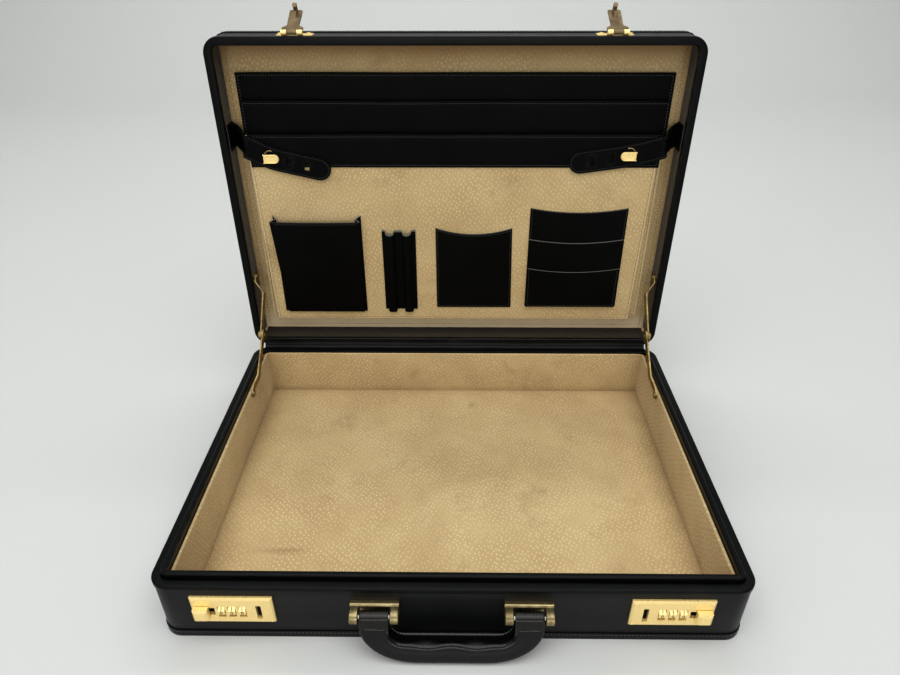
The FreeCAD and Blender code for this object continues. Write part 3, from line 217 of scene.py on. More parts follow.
def wood(name):
    s = Shader(name)
    rings = s.noise(40, 5, 0.6, stretch=(0.15, 1.0, 1.0))
    color = s.mix(s.fit(rings, 0.35, 0.65), (0.42, 0.27, 0.14), (0.58, 0.42, 0.24))
    return s.finish(Base_Color=color, Roughness=0.65, Normal=s.bump(rings, 0.0002, 0.3))


def thread(name, color):
    s = Shader(name)
    twist = s.noise(1400, 2)
    shade = s.mix(twist, tuple(c * 0.6 for c in color), color)
    return s.finish(Base_Color=shade, Roughness=0.6, Normal=s.bump(twist, 0.0001, 0.5), Sheen_Weight=0.2)


def paper(name, color):
    s = Shader(name)
    shade = s.mix(s.noise(3, 4), tuple(c * 0.97 for c in color), color)
    return s.finish(Base_Color=shade, Roughness=0.75, Normal=s.bump(s.noise(400, 4), 0.0002, 0.15))


LEATHERS = {
    # dark and light colour, roughness, grain, coat, worn edges, gloss
    "case_leather": ((0.0016, 0.0020, 0.0022), (0.0024, 0.0030, 0.0032), 0.42, 1.0, 0.0, 0.0, 0.30),
    "rim_leather": ((0.0014, 0.0018, 0.0020), (0.0024, 0.0028, 0.0030), 0.32, 0.6, 0.02, 0.15, 0.13),
    "handle_leather": ((0.0012, 0.0013, 0.0014), (0.0024, 0.0024, 0.0024), 0.25, 0.6, 0.05, 0.15, 0.32),
    "organiser_leather": ((0.0008, 0.0011, 0.0011), (0.0018, 0.0022, 0.0022), 0.46, 0.8, 0.0, 0.04, 0.08),
    "loop_leather": ((0.0025, 0.0022, 0.0020), (0.012, 0.008, 0.005), 0.28, 0.6, 0.05, 0.2, 0.35),
}
SUEDES = {
    # the nap's pale and deep colour, the dots, and the colour of stains and painted shade
    "tan_suede": ((0.53, 0.41, 0.225), (0.44, 0.325, 0.168), (0.72, 0.59, 0.38), (0.22, 0.13, 0.06)),
    "dark_lining": ((0.036, 0.028, 0.014), (0.02, 0.015, 0.008), (0.06, 0.047, 0.026), (0.003,) * 3),
}
BRASSES = {
    # bright and patina colour, roughness, age, metallic share
    "bright_brass": ((0.93, 0.72, 0.32), (0.62, 0.47, 0.21), 0.30, 0.08, 0.45),
    "antique_brass": ((0.36, 0.30, 0.165), (0.15, 0.12, 0.065), 0.33, 0.34, 1.0),
    "stay_brass": ((0.32, 0.25, 0.12), (0.17, 0.12, 0.05), 0.40, 0.30, 1.0),
    "hasp_brass": ((0.26, 0.20, 0.12), (0.14, 0.105, 0.06), 0.46, 0.34, 1.0),
}
MATERIALS = {"frame_wood": wood("frame_wood"), "steel": steel("steel")}
for build, table in ((leather, LEATHERS), (suede, SUEDES), (brass, BRASSES)):
    MATERIALS.update({name: build(name, *looks) for name, looks in table.items()})
DARK_THREAD = thread("dark_thread", (0.055, 0.058, 0.06))
TAN_THREAD = thread("tan_thread", (0.20, 0.13, 0.06))
PALE_THREAD = thread("pale_thread", (0.16, 0.16, 0.155))
BORDER_THREAD = thread("border_thread", (0.55, 0.44, 0.27))
INK = thread("numeral_ink", (0.03, 0.022, 0.015))


# ---- mesh building


SAME_PLACE = 2e-6  # metres: points closer than this are one
SHARP = radians(35)  # edges that turn more than this are rounded and shaded as edges
FACING = (0, -1, 0)  # the way the fittings in the open lid look


def bell(value, centre, width):
    """A smooth bump of height 1 at the centre."""
    return exp(-((value - centre) / width) ** 2)


def steps(start, end, pitch, *marks):
    """Even samples from start to end, with the marks added and near-twins dropped."""
    count = max(1, round((end - start) / pitch))
    values = [start + (end - start) * i / count for i in range(count + 1)]
    values = [v for v in values if all(abs(v - m) > pitch * 0.3 for m in marks)]
    return sorted(set(values) | set(marks) | {start, end})


def mirrored(x, pitch, *insets):
    """Even samples from -x to x, with marks at these distances in from both ends."""
    return steps(-x, x, pitch, *[sign * (x - inset) for inset in insets for sign in (-1, 1)])


def edged(count):
    """Even samples from 0 to 1 with more of them close to both ends."""
    middle = [0.06 + 0.88 * k / count for k in range(1, count)]
    return [0, 0.012, 0.035, 0.06, *middle, 0.94, 0.965, 0.988, 1]


def arc(radius, degrees):
    """Points of a circle round the origin."""
    return [(radius * cos(radians(t)), radius * sin(radians(t))) for t in degrees]


def left_of(a, b):
    """The unit normal to the left of the way from a to b."""
    tangent = Vector((b[0] - a[0], b[1] - a[1])).normalized()
    return Vector((-tangent.y, tangent.x))


def make(name, points, faces, body, slot, replaces=(), uv=None, tone=None, raw=None,
         material=None, sharp=40, blend=None, bevel=0.0, subdivide=0):
    """A piece from points in millimetres. tone and raw are optional values for each point."""
    mesh = bpy.data.meshes.new(name)
    mesh.from_pydata([tuple(c / 1000 for c in p) for p in points], [], faces)
    if uv:
        layer = mesh.uv_layers.new(name="UVMap")
        for loop in mesh.loops:
            u, v = uv[loop.vertex_index]
            layer.data[loop.index].uv = (u / 1000, v / 1000)
    for label, values in (("tone", tone), ("raw", raw)):
        if values:
            layer = mesh.attributes.new(label, "FLOAT", "POINT")
            layer.data.foreach_set("value", values)
    work = bmesh.new()
    work.from_mesh(mesh)
    bmesh.ops.remove_doubles(work, verts=work.verts, dist=SAME_PLACE)
    bmesh.ops.dissolve_degenerate(work, edges=work.edges, dist=1e-6)
    loose = [v for v in work.verts if not v.link_faces]
    bmesh.ops.delete(work, geom=loose, context="VERTS")
    bmesh.ops.recalc_face_normals(work, faces=work.faces)
    work.to_mesh(mesh)
    work.free()
    mesh.materials.append(material or MATERIALS[slot])
    obj = add_object(name, mesh)
    mesh.shade_smooth()
    mesh.set_sharp_from_angle(angle=radians(sharp))
    if bevel:
        round_edges(obj, bevel, harden=True)
    if subdivide:
        obj.modifiers.new("Subdivision", "SUBSURF").render_levels = subdivide
        obj.modifiers["Subdivision"].levels = subdivide
    if blend:
        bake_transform(obj)
    else:
        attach(obj, body)
    if replaces:
        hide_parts(*replaces)


def round_edges(obj, width, harden):
    """Rounds the edges of a piece or a CAD node with modifiers, which leave its own vertices alone."""
    weld = obj.modifiers.new("Weld", "WELD")
    weld.merge_threshold = SAME_PLACE
    bevel = obj.modifiers.new("Bevel", "BEVEL")
    bevel.width = width / 1000
    bevel.segments = 3
    bevel.limit_method = "ANGLE"
    bevel.angle_limit = SHARP
    bevel.harden_normals = harden


def sheet(us, vs, place, holes=()):
    """(points, faces, uv) of a closed slab. place(u, v) gives its front and back points, and each hole
    is (u0, u1, v0, v1) along the samples."""
    count = len(us) * len(vs)
    pairs = [place(u, v) for u in us for v in vs]
    points = [p[0] for p in pairs] + [p[1] for p in pairs]
    uv = [(u, v) for u in us for v in vs] * 2
    faces, border = [], {}
    for i in range(len(us) - 1):
        for j in range(len(vs) - 1):
            u, v = (us[i] + us[i + 1]) / 2, (vs[j] + vs[j + 1]) / 2
            if any(h[0] < u < h[1] and h[2] < v < h[3] for h in holes):
                continue
            a = i * len(vs) + j
            quad = [a, a + len(vs), a + len(vs) + 1, a + 1]
            faces += [quad, [q + count for q in reversed(quad)]]
            for edge in zip(quad, quad[1:] + quad[:1]):
                if edge[::-1] in border:
                    del border[edge[::-1]]
                else:
                    border[edge] = True
    faces += [[b, a, a + count, b + count] for a, b in border]
    return points, faces, uv


def bridge(rows, around=False):
    """(points, faces) of closed sections joined one to the next, and the last to the first if around."""
    n, m = len(rows), len(rows[0])
    points = [p for row in rows for p in row]
    faces = []
    for i in range(n if around else n - 1):
        k = (i + 1) % n
        faces += [[i * m + j, k * m + j, k * m + (j + 1) % m, i * m + (j + 1) % m] for j in range(m)]
    return points, faces


def ring(path, profile):
    """(points, faces, distances) of a closed section swept round a rounded_plan(). profile() takes one
    entry of the plan and lists the section's points there."""
    points, faces = bridge([profile(*place) for place in path], around=True)
    m = len(points) // len(path)
    return points, faces, [place[4] for place in path for _ in range(m)]


def loft(rows):
    """(points, faces) of closed sections joined end to end, with flat caps."""
    points, faces = bridge(rows)
    m = len(rows[0])
    return points, faces + [list(range(m)), list(range(len(points) - m, len(points)))[::-1]]


def rounded_plan(x0, x1, y0, y1, radius, pitch, per_corner):
    """(x, y, outward x, outward y, distance) anticlockwise round a rounded rectangle."""
    corners = [(x1 - radius, y0 + radius, -90), (x1 - radius, y1 - radius, 0),
               (x0 + radius, y1 - radius, 90), (x0 + radius, y0 + radius, 180)]
    raw = []
    for cx, cy, start in corners:
        for k in range(per_corner + 1):
            turn = radians(start + 90 * k / per_corner)
            out = cos(turn), sin(turn)
            raw.append((cx + radius * out[0], cy + radius * out[1], *out))
    path, along = [], 0.0
    for here, there in zip(raw, raw[1:] + raw[:1]):
        gap = dist(here[:2], there[:2])
        parts = max(1, round(gap / pitch))
        for k in range(parts):
            t = k / parts
            path.append(tuple(a + (b - a) * t for a, b in zip(here, there)) + (along + gap * t,))
        along += gap
    return path


def wave(x, y, z, size, seed=0.0):
    """Smooth noise from -1 to 1 whose bumps are about size millimetres."""
    return noise.noise(Vector((x / size + seed, y / size - seed, z / size + 2 * seed)))


def stitches(name, runs, body, slot, material=DARK_THREAD, pitch=3.0, radius=0.3, share=0.66, blend=None):
    """Raised thread stitches along runs of (points, normal). The normal is the way the cloth faces, and
    each stitch slants by about 7 degrees."""
    swell = ((0.0, 0.0), (0.1, 0.62), (0.3, 0.95), (0.5, 1.0), (0.7, 0.95), (0.9, 0.62), (1.0, 0.0))
    turns = [2 * pi * q / 6 for q in range(6)]
    points, faces = [], []
    for run, normal in runs:
        run = [Vector(p) for p in run]
        lengths = [(b - a).length for a, b in zip(run, run[1:])]
        total = sum(lengths)
        count = max(1, round(total / pitch))
        step = total / count

        def at(s):
            for a, b, length in zip(run, run[1:], lengths):
                if s <= length or b is run[-1]:
                    return a.lerp(b, min(1.0, s / length) if length else 0)
                s -= length

        for k in range(count):
            middle = (k + 0.5) * step
            a, b = at(middle - step * share / 2), at(middle + step * share / 2)
            up = Vector(normal(a.lerp(b, 0.5)) if callable(normal) else normal).normalized()
            turn = Matrix.Rotation(radians(7 + draw.uniform(-2.5, 2.5)), 3, up)
            centre = a.lerp(b, 0.5)
            along = turn @ (b - a)
            side = up.cross(along).normalized()
            rows = []
            for t, r in swell:
                spot = centre + along * (t - 0.5) + up * (radius * (0.55 * sin(pi * t) - 0.25))
                rows.append([spot + (side * cos(w) + up * sin(w)) * radius * r for w in turns])
            corners, quads = bridge(rows)
            faces += [[len(points) + c for c in quad] for quad in quads]
            points += corners
    make(name, points, faces, body, slot, material=material, sharp=180, blend=blend)


# ---- CAD nodes that stay


def finish_node(name, look, round_by):
    """Material, shading and softened edges of a CAD node that is shown as it is."""
    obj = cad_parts[name]
    obj.data.materials.clear()
    obj.data.materials.append(MATERIALS[look])
    obj.data.shade_smooth()
    if "custom_normal" in obj.data.attributes:
        obj.data.attributes.remove(obj.data.attributes["custom_normal"])
    obj.data.set_sharp_from_angle(angle=SHARP)
    if round_by:
        round_edges(obj, round_by, harden="brass" in look)


AGED = {"stay": "stay_brass", "left_hasp": "hasp_brass", "right_hasp": "hasp_brass"}
ROUNDED_BY = {"brass": 0.15, "leather": 0.35}
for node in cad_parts:
    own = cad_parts[node].data.materials[0].name.split(".")[0]
    look = next((look for part, look in AGED.items() if part in node), own)
    finish_node(node, look, next((width for kind, width in ROUNDED_BY.items() if kind in own), 0.0))


# ---- tray


LINING_SIDE = 2.7
LINING_REAR = 1.5
TRAY_FLOOR = box("tray_lining_floor")[1].z


def tray_lining():
    """Padded suede round the tray walls, rolled over its top edge, and a loose-laid floor."""
    low, high = box("tray_lining_walls")
    x, front, rear, top = high.x - LINING_SIDE, low.y + LINING_SIDE, high.y - LINING_REAR, high.z
    path = rounded_plan(-x, x, front, rear, 2.2, 5.0, 4)
    levels = [-0.6, 0.6, 3, 8, 15, 23, 31, 39, 45, 49, 50.6]

    def from_corner(px, py):
        return hypot(x - abs(px), min(abs(py - front), abs(py - rear)))

    def profile(px, py, ox, oy, _):
        thick = (LINING_REAR if oy > 0.5 else LINING_SIDE) - 0.15
        swell = 0.35 * min(1.0, from_corner(px, py) / 30)
        section = []
        for h in levels:
            z = low.z + h
            puff = swell * sin(pi * min(1, max(0, h / 50)))
            puff += 0.22 * wave(px, py, z, 22, 3) * min(1, h / 8)
            section.append((px - ox * puff, py - oy * puff, z))
        for t in (25, 55, 90):
            turn = radians(t)
            out = 0.9 * (1 - cos(turn))
            section.append((px + ox * out, py + oy * out, top - 1.4 + 1.4 * sin(turn)))
        for out, z in ((thick - 0.3, top - 0.1), (thick, top - 0.6), (thick, low.z - 0.6)):
            section.append((px + ox * out, py + oy * out, z))
        return section

    points, faces, along = ring(path, profile)
    uv = [(s, p[2]) for s, p in zip(along, points)]
    tone = []
    for px, py, pz in points:
        # painted shade: darker towards the corners and along the foot of the walls; the wave adds random
        # stains
        value = -0.42 * exp(-from_corner(px, py) / 9) - 0.3 * max(0.0, 1 - (pz - low.z) / 7)
        tone.append(value - 0.22 * max(0.0, wave(px, py, pz, 34, 9)))
    make("tray_lining_walls_pad", points, faces, "tray", "tan_suede", ["tray_lining_walls"], uv, tone)

    us = steps(-x - 0.4, x + 0.4, 5.0, -x + 1, x - 1, -x + 3, x - 3)
    vs = steps(front - 0.4, rear + 0.4, 5.0, front + 1, front + 3, rear - 1, rear - 3)

    def place(u, v):
        edge = min(x - abs(u), v - front, rear - v)
        sink = 0.7 * exp(-max(edge, 0) / 1.6)
        lift = 0.35 * wave(u, v, 0, 55, 5) + 0.16 * wave(u, v, 0, 17, 1)
        lift *= min(1.0, max(edge, 0) / 15)
        return (u, v, TRAY_FLOOR + 0.25 - sink + lift), (u, v, TRAY_FLOOR - 0.9)

    points, faces, uv = sheet(us, vs, place)
    tone = [floor_tone(p[0], p[1], x, front, rear) for p in points]
    make("tray_lining_floor_pad", points, faces, "tray", "tan_suede", ["tray_lining_floor"], uv, tone)


def floor_tone(px, py, x, front, rear):
    """Painted shade on the floor, darker along the walls and in the corners, with random stains and a few
    marks.
    """
    side = min(x - abs(px), py - front, rear - py)
    corner = hypot(x - abs(px), min(py - front, rear - py))
    # painted shade along the walls and in the corners
    value = -0.30 * exp(-max(side, 0) / 7) - 0.3 * exp(-corner / 22)
    # random stains, then a stain and a scuff streak
    value -= 0.16 * max(0.0, wave(px, py, 0, 60, 4)) + 0.12 * max(0.0, wave(px, py, 0, 21, 8))
    value -= 0.55 * exp(-((px - 21) ** 2 + (py - 126) ** 2) / 18)
    value -= 0.45 * exp(-((py + 84 + 0.06 * (px + 156)) ** 2) / 3 - ((px + 159) / 27) ** 4)
    return max(value, -0.75)


CORNER = 16  # radius of the case's corners
HALF_SIDE, HALF_END = 214, 149  # half lengths of the straight sides between them


def past(value, limit):
    """How far a value lies beyond the limit on its own side of zero."""
    return max(0, abs(value) - limit) * copysign(1, value)


def base_stitching():
    """Thread round the upper edge of the base wrap and of the lid's top wrap."""
    low, high = box("tray_base_leather")
    level = high.z - 1.6
    plan = rounded_plan(low.x, high.x, low.y, high.y, CORNER, 6.0, 10)
    run = [(p[0], p[1], level) for p in plan + plan[:1]]

    def outward(p):
        return Vector((past(p.x, HALF_SIDE), past(p.y, HALF_END), 0))

    stitches("tray_base_stitching", [(run, outward)], "tray", "case_leather", pitch=3.2, radius=0.34)

    low, high = box("lid_top_leather")
    centre = (low.z + high.z) / 2
    plan = rounded_plan(low.x, high.x, low.z, high.z, CORNER, 6.0, 10)
    depth = low.y + 1.6
    run = [(p[0], depth, p[1]) for p in plan + plan[:1]]

    def lid_outward(p):
        return Vector((past(p.x, HALF_SIDE), 0, past(p.z - centre, HALF_END)))

    runs = [(run, lid_outward)]
    stitches("lid_wrap_stitching", runs, "lid", "case_leather", pitch=4.4, radius=0.45, share=0.6)


def hinge_cover():
    """The leather that bridges the tray's rear edge and the lid, rolled over the piano hinge."""
    section = [(156.2, 57.0), (156.35, 58.3), (157.3, 58.8), (159.2, 59.0), (161.2, 59.2), (163.2, 59.9),
               (164.6, 61.0), (165.5, 62.6), (166.2, 64.6), (166.6, 66.8), (166.9, 68.6), (167.9, 69.5),
               (170.0, 69.7)]
    x = 219.0
    us = mirrored(x, 6.0, 1)
    vs = list(range(len(section)))

    def place(u, v):
        y, z = section[v]
        normal = left_of(section[max(0, v - 1)], section[min(len(section) - 1, v + 1)])
        lift = 0.22 * wave(u, 0, 7 * v, 26, 2) + 0.12 * wave(u, 0, 3 * v, 9, 5)
        return (u, y + normal.x * lift, z + normal.y * lift), (u, y - normal.x * 0.45, z - normal.y * 0.45)

    points, faces, uv = sheet(us, vs, place)
    make("hinge_cover", points, faces, None, "rim_leather", ["hinge_leather"], uv, sharp=180, bevel=0.2,
         blend=("tray", "lid", (0, 0.1625, 0.0588), (0, 0.1672, 0.0665)))


# ---- lid interior


LID_LINING = 0.8
PANEL_SEAM = 5.0


def lid_lining():
    """Dark suede round the lid's walls and the pale panel with its sewn border."""
    low, high = box("lid_lining_walls")
    x, foot, top = high.x - LID_LINING, low.z + LID_LINING, high.z - LID_LINING
    path = rounded_plan(-x, x, foot, top, 2.0, 5.0, 4)
    depths = [low.y - 0.1, *[low.y + d for d in (0.5, 3, 8, 14, 19)], high.y - 1, high.y + 0.2]

    def profile(px, pz, ox, oz, _):
        section = []
        for y in depths:
            puff = 0.15 + 0.18 * wave(px, y, pz, 18, 6)
            section.append((px - ox * puff, y, pz - oz * puff))
        section += [(px + ox * 0.7, high.y + 0.2, pz + oz * 0.7), (px + ox * 0.7, low.y - 0.1, pz + oz * 0.7)]
        return section

    points, faces, along = ring(path, profile)
    uv = [(s, p[1]) for s, p in zip(along, points)]
    # painted shade: the wall lining darkens to near-black deeper in the lid, towards the panel
    tone = [-min(0.97, max(0.0, (p[1] - low.y - 5) / 12)) for p in points]
    make("lid_wall_lining", points, faces, "lid", "dark_lining", ["lid_lining_walls"], uv, tone)

    face = box("lid_lining_panel")[0].y
    seam = (1, PANEL_SEAM - 0.8, PANEL_SEAM, PANEL_SEAM + 0.8)
    us = steps(-x - 0.3, x + 0.3, 5.0, *[-x + s for s in seam], *[x - s for s in seam])
    vs = steps(foot - 0.3, top + 0.3, 5.0, *[foot + s for s in seam], *[top - s for s in seam])

    def place(u, v):
        edge = min(x - abs(u), v - foot, top - v)
        sink = 0.8 * exp(-max(edge, 0) / 1.4) + 0.35 * bell(edge, PANEL_SEAM, 0.8)
        lift = 0.3 * wave(u, v, 0, 60, 2) * min(1, max(edge, 0) / 20)
        return (u, face - 0.3 + sink - lift, v), (u, face + 1.0, v)

    points, faces, uv = sheet(us, vs, place)
    tone = []
    for p in points:
        edge = min(x - abs(p[0]), p[2] - foot, top - p[2])
        # painted shade near the panel's edges, plus random stains
        shade = 0.35 * exp(-max(edge, 0) / 5) + 0.15 * max(0, wave(p[0], p[2], 0, 50, 3))
        # painted shadow from the rim at the top, and painted light lifting the foot strip
        shade += 0.95 * bell(p[2], top, 16) - bell(p[2], foot, 20)
        tone.append(-min(0.85, shade))
    make("lid_panel_pad", points, faces, "lid", "tan_suede", ["lid_lining_panel"], uv, tone)
    side, low_z, high_z = x - PANEL_SEAM, foot + PANEL_SEAM, top - PANEL_SEAM
    border = ((-side, low_z), (side, low_z), (side, high_z), (-side, high_z))
    corners = [(u, face - 0.1, v) for u, v in border]
    runs = [(list(ends), FACING) for ends in zip(corners, corners[1:] + corners[:1])]
    stitches("lid_panel_stitching", runs[1:], "lid", "tan_suede", TAN_THREAD, pitch=3.4)
    stitches("lid_foot_stitching", runs[:1], "lid", "tan_suede", BORDER_THREAD, pitch=3.4, radius=0.45)


SEAM = 2.4  # how far the boards' and bands' stitches stand in from their edges


def board(name, node, body, band_low, half=None, taper=0.0, shift=0.0):
    """A suede-faced file board, stitched along its edges. The sides come in by the taper at the foot."""
    low, high = box(node)
    x = half or high.x
    us = mirrored(x, 6.0, 0.6, 1.2, SEAM)
    vs = steps(low.z, high.z, 6.0, low.z + 0.6, low.z + 1.2, low.z + SEAM)

    def across(u, z):
        return u * (1 - taper / x * (high.z - z) / (high.z - low.z)) + shift

    def place(u, v):
        edge = min(x - abs(u), v - low.z)
        round_off = 0.5 * (1 - min(1, max(0, edge) / 0.8)) ** 2 + 0.3 * bell(edge, SEAM, 0.6)
        lift = 0.12 * wave(u, v, 0, 70, 1)
        return (across(u, v), low.y - 0.15 + round_off - lift, v), (across(u, v), high.y, v)

    points, faces, uv = sheet(us, vs, place)
    tone = []
    for (u, v), p in zip(uv, points):
        # pale rolled edges along the sides and the foot, lightened further as a painted highlight; the wave
        # adds random stains
        bright = 0.75 * max(0.0, 1 - (x - abs(u)) / 1.3) + 0.25 * max(0.0, 1 - (v - low.z) / 1.0)
        tone.append(bright - 0.12 * max(0, wave(p[0], p[2], 0, 45, 7)))
    make(name, points, faces, body, "tan_suede", [node], uv, tone, bevel=0.25)
    side, foot = x - SEAM, low.z + SEAM
    corners = ((-side, band_low), (-side, foot), (side, foot), (side, band_low))
    border = [(across(u, z), low.y + 0.05, z) for u, z in corners]
    runs = [(border[i:i + 2], FACING) for i in range(3)]
    stitches(name + "_stitching", runs, body, "tan_suede", TAN_THREAD, pitch=2.8, radius=0.32)


def band(name, body, x, low_z, top_z, front, back, replaces=(), stitch_foot=False, seed=0.0):
    """A leather band folded over a board's top edge: front face, rounded fold and short rear face."""
    thick = 0.9
    levels = [low_z, low_z + 1.2, low_z + SEAM, low_z + 3.4]
    levels += [low_z + 6 + (top_z - low_z - 12) * k / 4 for k in range(5)]
    levels += [top_z - 3.4, top_z - SEAM, top_z - 1.6]
    section = [(front, z) for z in levels]
    radius = (back - front) / 2
    fold = arc(radius, (160, 130, 100, 80, 50, 20))
    section += [(front + radius + a, top_z - radius + b) for a, b in fold]
    section += [(back, top_z - 3), (back, top_z - 9)]
    us = mirrored(x, 7.0, 0.7, 2, 2.8)
    vs = list(range(len(section)))

    def place(u, v):
        y, z = section[v]
        normal = left_of(section[max(0, v - 1)], section[min(len(section) - 1, v + 1)])
        groove = 0.22 * bell(x - abs(u), SEAM, 0.7)
        if y <= front + 0.01:
            groove += 0.22 * bell(top_z - z, SEAM, 0.7)
            if stitch_foot:
                groove += 0.22 * bell(z - low_z, SEAM, 0.7)
        sag = 0.25 * wave(u, 0, z, 60, seed) * min(1, (z - low_z) / 10)
        rise = 0.5 * wave(u, 0, 0, 110, seed + 3) if z > top_z - 5 else 0
        out = 0.15 + sag - groove
        return ((u, y + normal.x * out, z + normal.y * out + rise),
                (u, y - normal.x * thick, z - normal.y * thick + rise))

    points, faces, uv = sheet(us, vs, place)
    make(name, points, faces, body, "organiser_leather", replaces, uv, bevel=0.2)
    rows = [levels.index(top_z - SEAM)] + ([levels.index(low_z + SEAM)] if stitch_foot else [])
    runs = [([place(u, row)[0] for u in mirrored(x - SEAM, 4.0)], FACING) for row in rows]
    for u in (-x + SEAM, x - SEAM):
        runs.append(([place(u, row)[0] for row in range(2, rows[0] + 1)], FACING))
    stitches(name + "_stitching", runs, body, "organiser_leather", pitch=2.9, radius=0.3)


def boards():
    """The three file boards in the lid, each under its leather band."""
    for name, body, seed in (("rear", "lid", 1.0), ("middle", "middle_divider", 2.0)):
        low, high = box(name + "_divider")
        board(name + "_board", name + "_divider", body, high.z - 50)
        band(name + "_band", body, high.x + 0.4, high.z - 52, high.z + 0.6, low.y - 0.5, high.y + 0.5,
             seed=seed)
    low, high = box("organiser_band")
    board("front_board", "organiser_board", "organiser", low.z, 205.4, 5.0, -1.7)
    band("front_band", "organiser", high.x, low.z, high.z, low.y + 0.1, high.y - 0.1,
         ["organiser_band"], True, 3.0)


# ---- pockets


ORGANISER = ("organiser", "organiser_leather")  # body and look of the pockets


def panel_leather(name, outline, front, thick, replaces=(), bulge=0.6, raw_top=0.5, seed=0.0, lean=0.0):
    """A leather face whose outline is (left(v), right(v), foot(u), top(u)) with u and v from 0 to 1.
    Its foot stands further back than its top by the lean."""
    left, right, foot, top = outline

    def place(u, v):
        x = left(v) + (right(v) - left(v)) * u
        z = foot(u) + (top(u) - foot(u)) * v
        swell = sin(pi * u) * (0.35 + 0.65 * v) * sin(pi * (0.06 + 0.88 * v) ** 1.3)
        lift = bulge * swell + 0.1 * wave(x, 0, z, 24, seed)
        y = front + lean * (1 - v) - lift
        return (x, y, z), (x, y + thick, z)

    points, faces, uv = sheet(edged(14), edged(12), place)
    raw = [raw_top if v > 0.99 else 0.0 for _, v in uv]
    uv = [(x, z) for x, _, z in points]
    make(name, points, faces, *ORGANISER, replaces, uv, raw=raw, bevel=0.22)


def edge_run(outline, side, inset, y):
    """A run for stitches() along one side of a face outline, inset from its edge."""
    left, right, foot, top = outline
    start, width = left(0.5), right(0.5) - left(0.5)
    run = []
    for t in [k / 24 for k in range(25)]:
        if side in ("top", "foot"):
            x = start + inset + (width - 2 * inset) * t
            u = (x - start) / width
            run.append((x, y, top(u) - inset if side == "top" else foot(u) + inset))
        else:
            u = 0.0 if side == "left" else 1.0
            low, high = foot(u) + inset, top(u) - inset
            run.append((right(t) - inset if u else left(t) + inset, y, low + (high - low) * t))
    return run, FACING


def concave(ends, dip):
    """A top edge that dips from its ends to its middle."""
    return lambda u: ends - dip * (1 - (2 * u - 1) ** 2)


def calculator_pocket():
    """A boxed pocket that stands further off the board at its brim: face, folded side gussets with raw
    grey top edges, and a foot."""
    low, high = box("calculator_pocket")
    back, near, lean = high.y - 0.1, low.y + 0.2, 6.0
    brim = high.z - 3.8

    def left(v):
        return low.x + 5.6 - 6.1 * v

    def right(v):
        return high.x - 2.0 + 2.0 * v

    outline = (left, right, lambda u: low.z + 0.4, concave(brim, 0.5))
    panel_leather("calculator_face", outline, near, 1.0, ["calculator_pocket"], 0.5, 0.15, 4.0, lean)
    for side, edge, inward, root in (("left", left, 1, low.x + 1.6), ("right", right, -1, high.x + 0.8)):
        def at(u, z):
            t = min(1.0, (z - low.z) / (brim - low.z))
            front = near + lean * (1 - t) + 0.4
            x = edge(t)
            near_fold = x + inward * 0.4, front + 1.4 * t + 0.4
            far_fold = (x + root) / 2 + inward * (1 + 3.6 * t), (front + back) / 2
            return ((x, front), near_fold, far_fold, (root, back - 1.0), (root, back))[u]

        def place(u, v):
            x, y = at(u, v)
            normal = left_of(at(max(0, u - 1), v), at(min(4, u + 1), v)) * -0.45
            z = v if v <= brim else brim + (v - brim) * (0.02, 0.06, 0.45, 0.95, 1.0)[u]
            return (x + normal.x, y + normal.y, z), (x - normal.x, y - normal.y, z)

        vs = steps(low.z + 1.0, high.z + 1.0, 8.0, brim, brim + 1.5, brim + 3.2, high.z)
        points, faces, uv = sheet(list(range(5)), vs, place)
        raw = [1.0 if v > high.z + 0.5 else 0.0 for _, v in uv]
        make(f"calculator_gusset_{side}", points, faces, *ORGANISER, uv=uv, raw=raw,
             bevel=0.12)
    runs = [edge_run(outline, "top", 2.2, near - 0.05)]
    stitches("calculator_stitching", runs, *ORGANISER, pitch=2.6, radius=0.2, share=0.8)
    us = steps(left(0) + 0.2, right(0) - 0.2, 8.0)
    foot = [(near + lean + 0.3, low.z + 0.9), (near + lean + 1.4, low.z + 0.5), (back, low.z + 0.4)]
    points, faces, uv = sheet(us, range(3), lambda u, v: ((u, *foot[v]), (u, foot[v][0], foot[v][1] + 1.0)))
    make("calculator_foot", points, faces, *ORGANISER, uv=uv, bevel=0.2)


def pen_holder():
    """Two rounded pen channels pressed in one piece of leather, with a deep groove between them."""
    low, high = box("pen_holder")
    left, width = low.x + 1.0, high.x - low.x - 2.0
    back = high.y - 0.1
    rib, starts = 10.0, (3.2, 21.6)

    def on_rib(t):
        """How squarely a place across the holder stands on one of the ribs, from 0 to 1."""
        s = t * width
        for start in starts:
            if start < s < start + rib:
                return sin(pi * (s - start) / rib) ** 0.3
        return 0.0

    marks = []
    for start in starts:
        end = start + rib
        marks += [m / width for m in (start, start + 0.3, start + 0.9, end - 0.9, end - 0.3, end)]
    us = steps(0, 1, 1 / 36, *marks)
    vs = [0, 0.012, 0.035] + [k / 16 for k in range(1, 16)] + [0.975, 0.99, 1]

    def place(u, v):
        x, stand = left + width * u, on_rib(u)
        foot = low.z + (0.3 if stand > 0.1 else 2.6)
        top = high.z - 3.6 * stand - 0.8 * sin(pi * u)
        z = foot + (top - foot) * v
        out = 1.0 + 4.6 * stand * (0.86 + 0.14 * sin(pi * min(1, v * 1.1 + 0.1)))
        out += 0.12 * wave(x, 0, z, 14, 5)
        return (x, back - out, z), (x, back - max(0.05, out - 1.0), z)

    points, faces, uv = sheet(us, vs, place)
    raw = [0.75 if v > 0.985 else 0.0 for _, v in uv]
    uv = [(x, z) for x, _, z in points]
    make("pen_holder_ribs", points, faces, *ORGANISER, ["pen_holder"], uv, raw=raw,
         bevel=0.2, sharp=60)


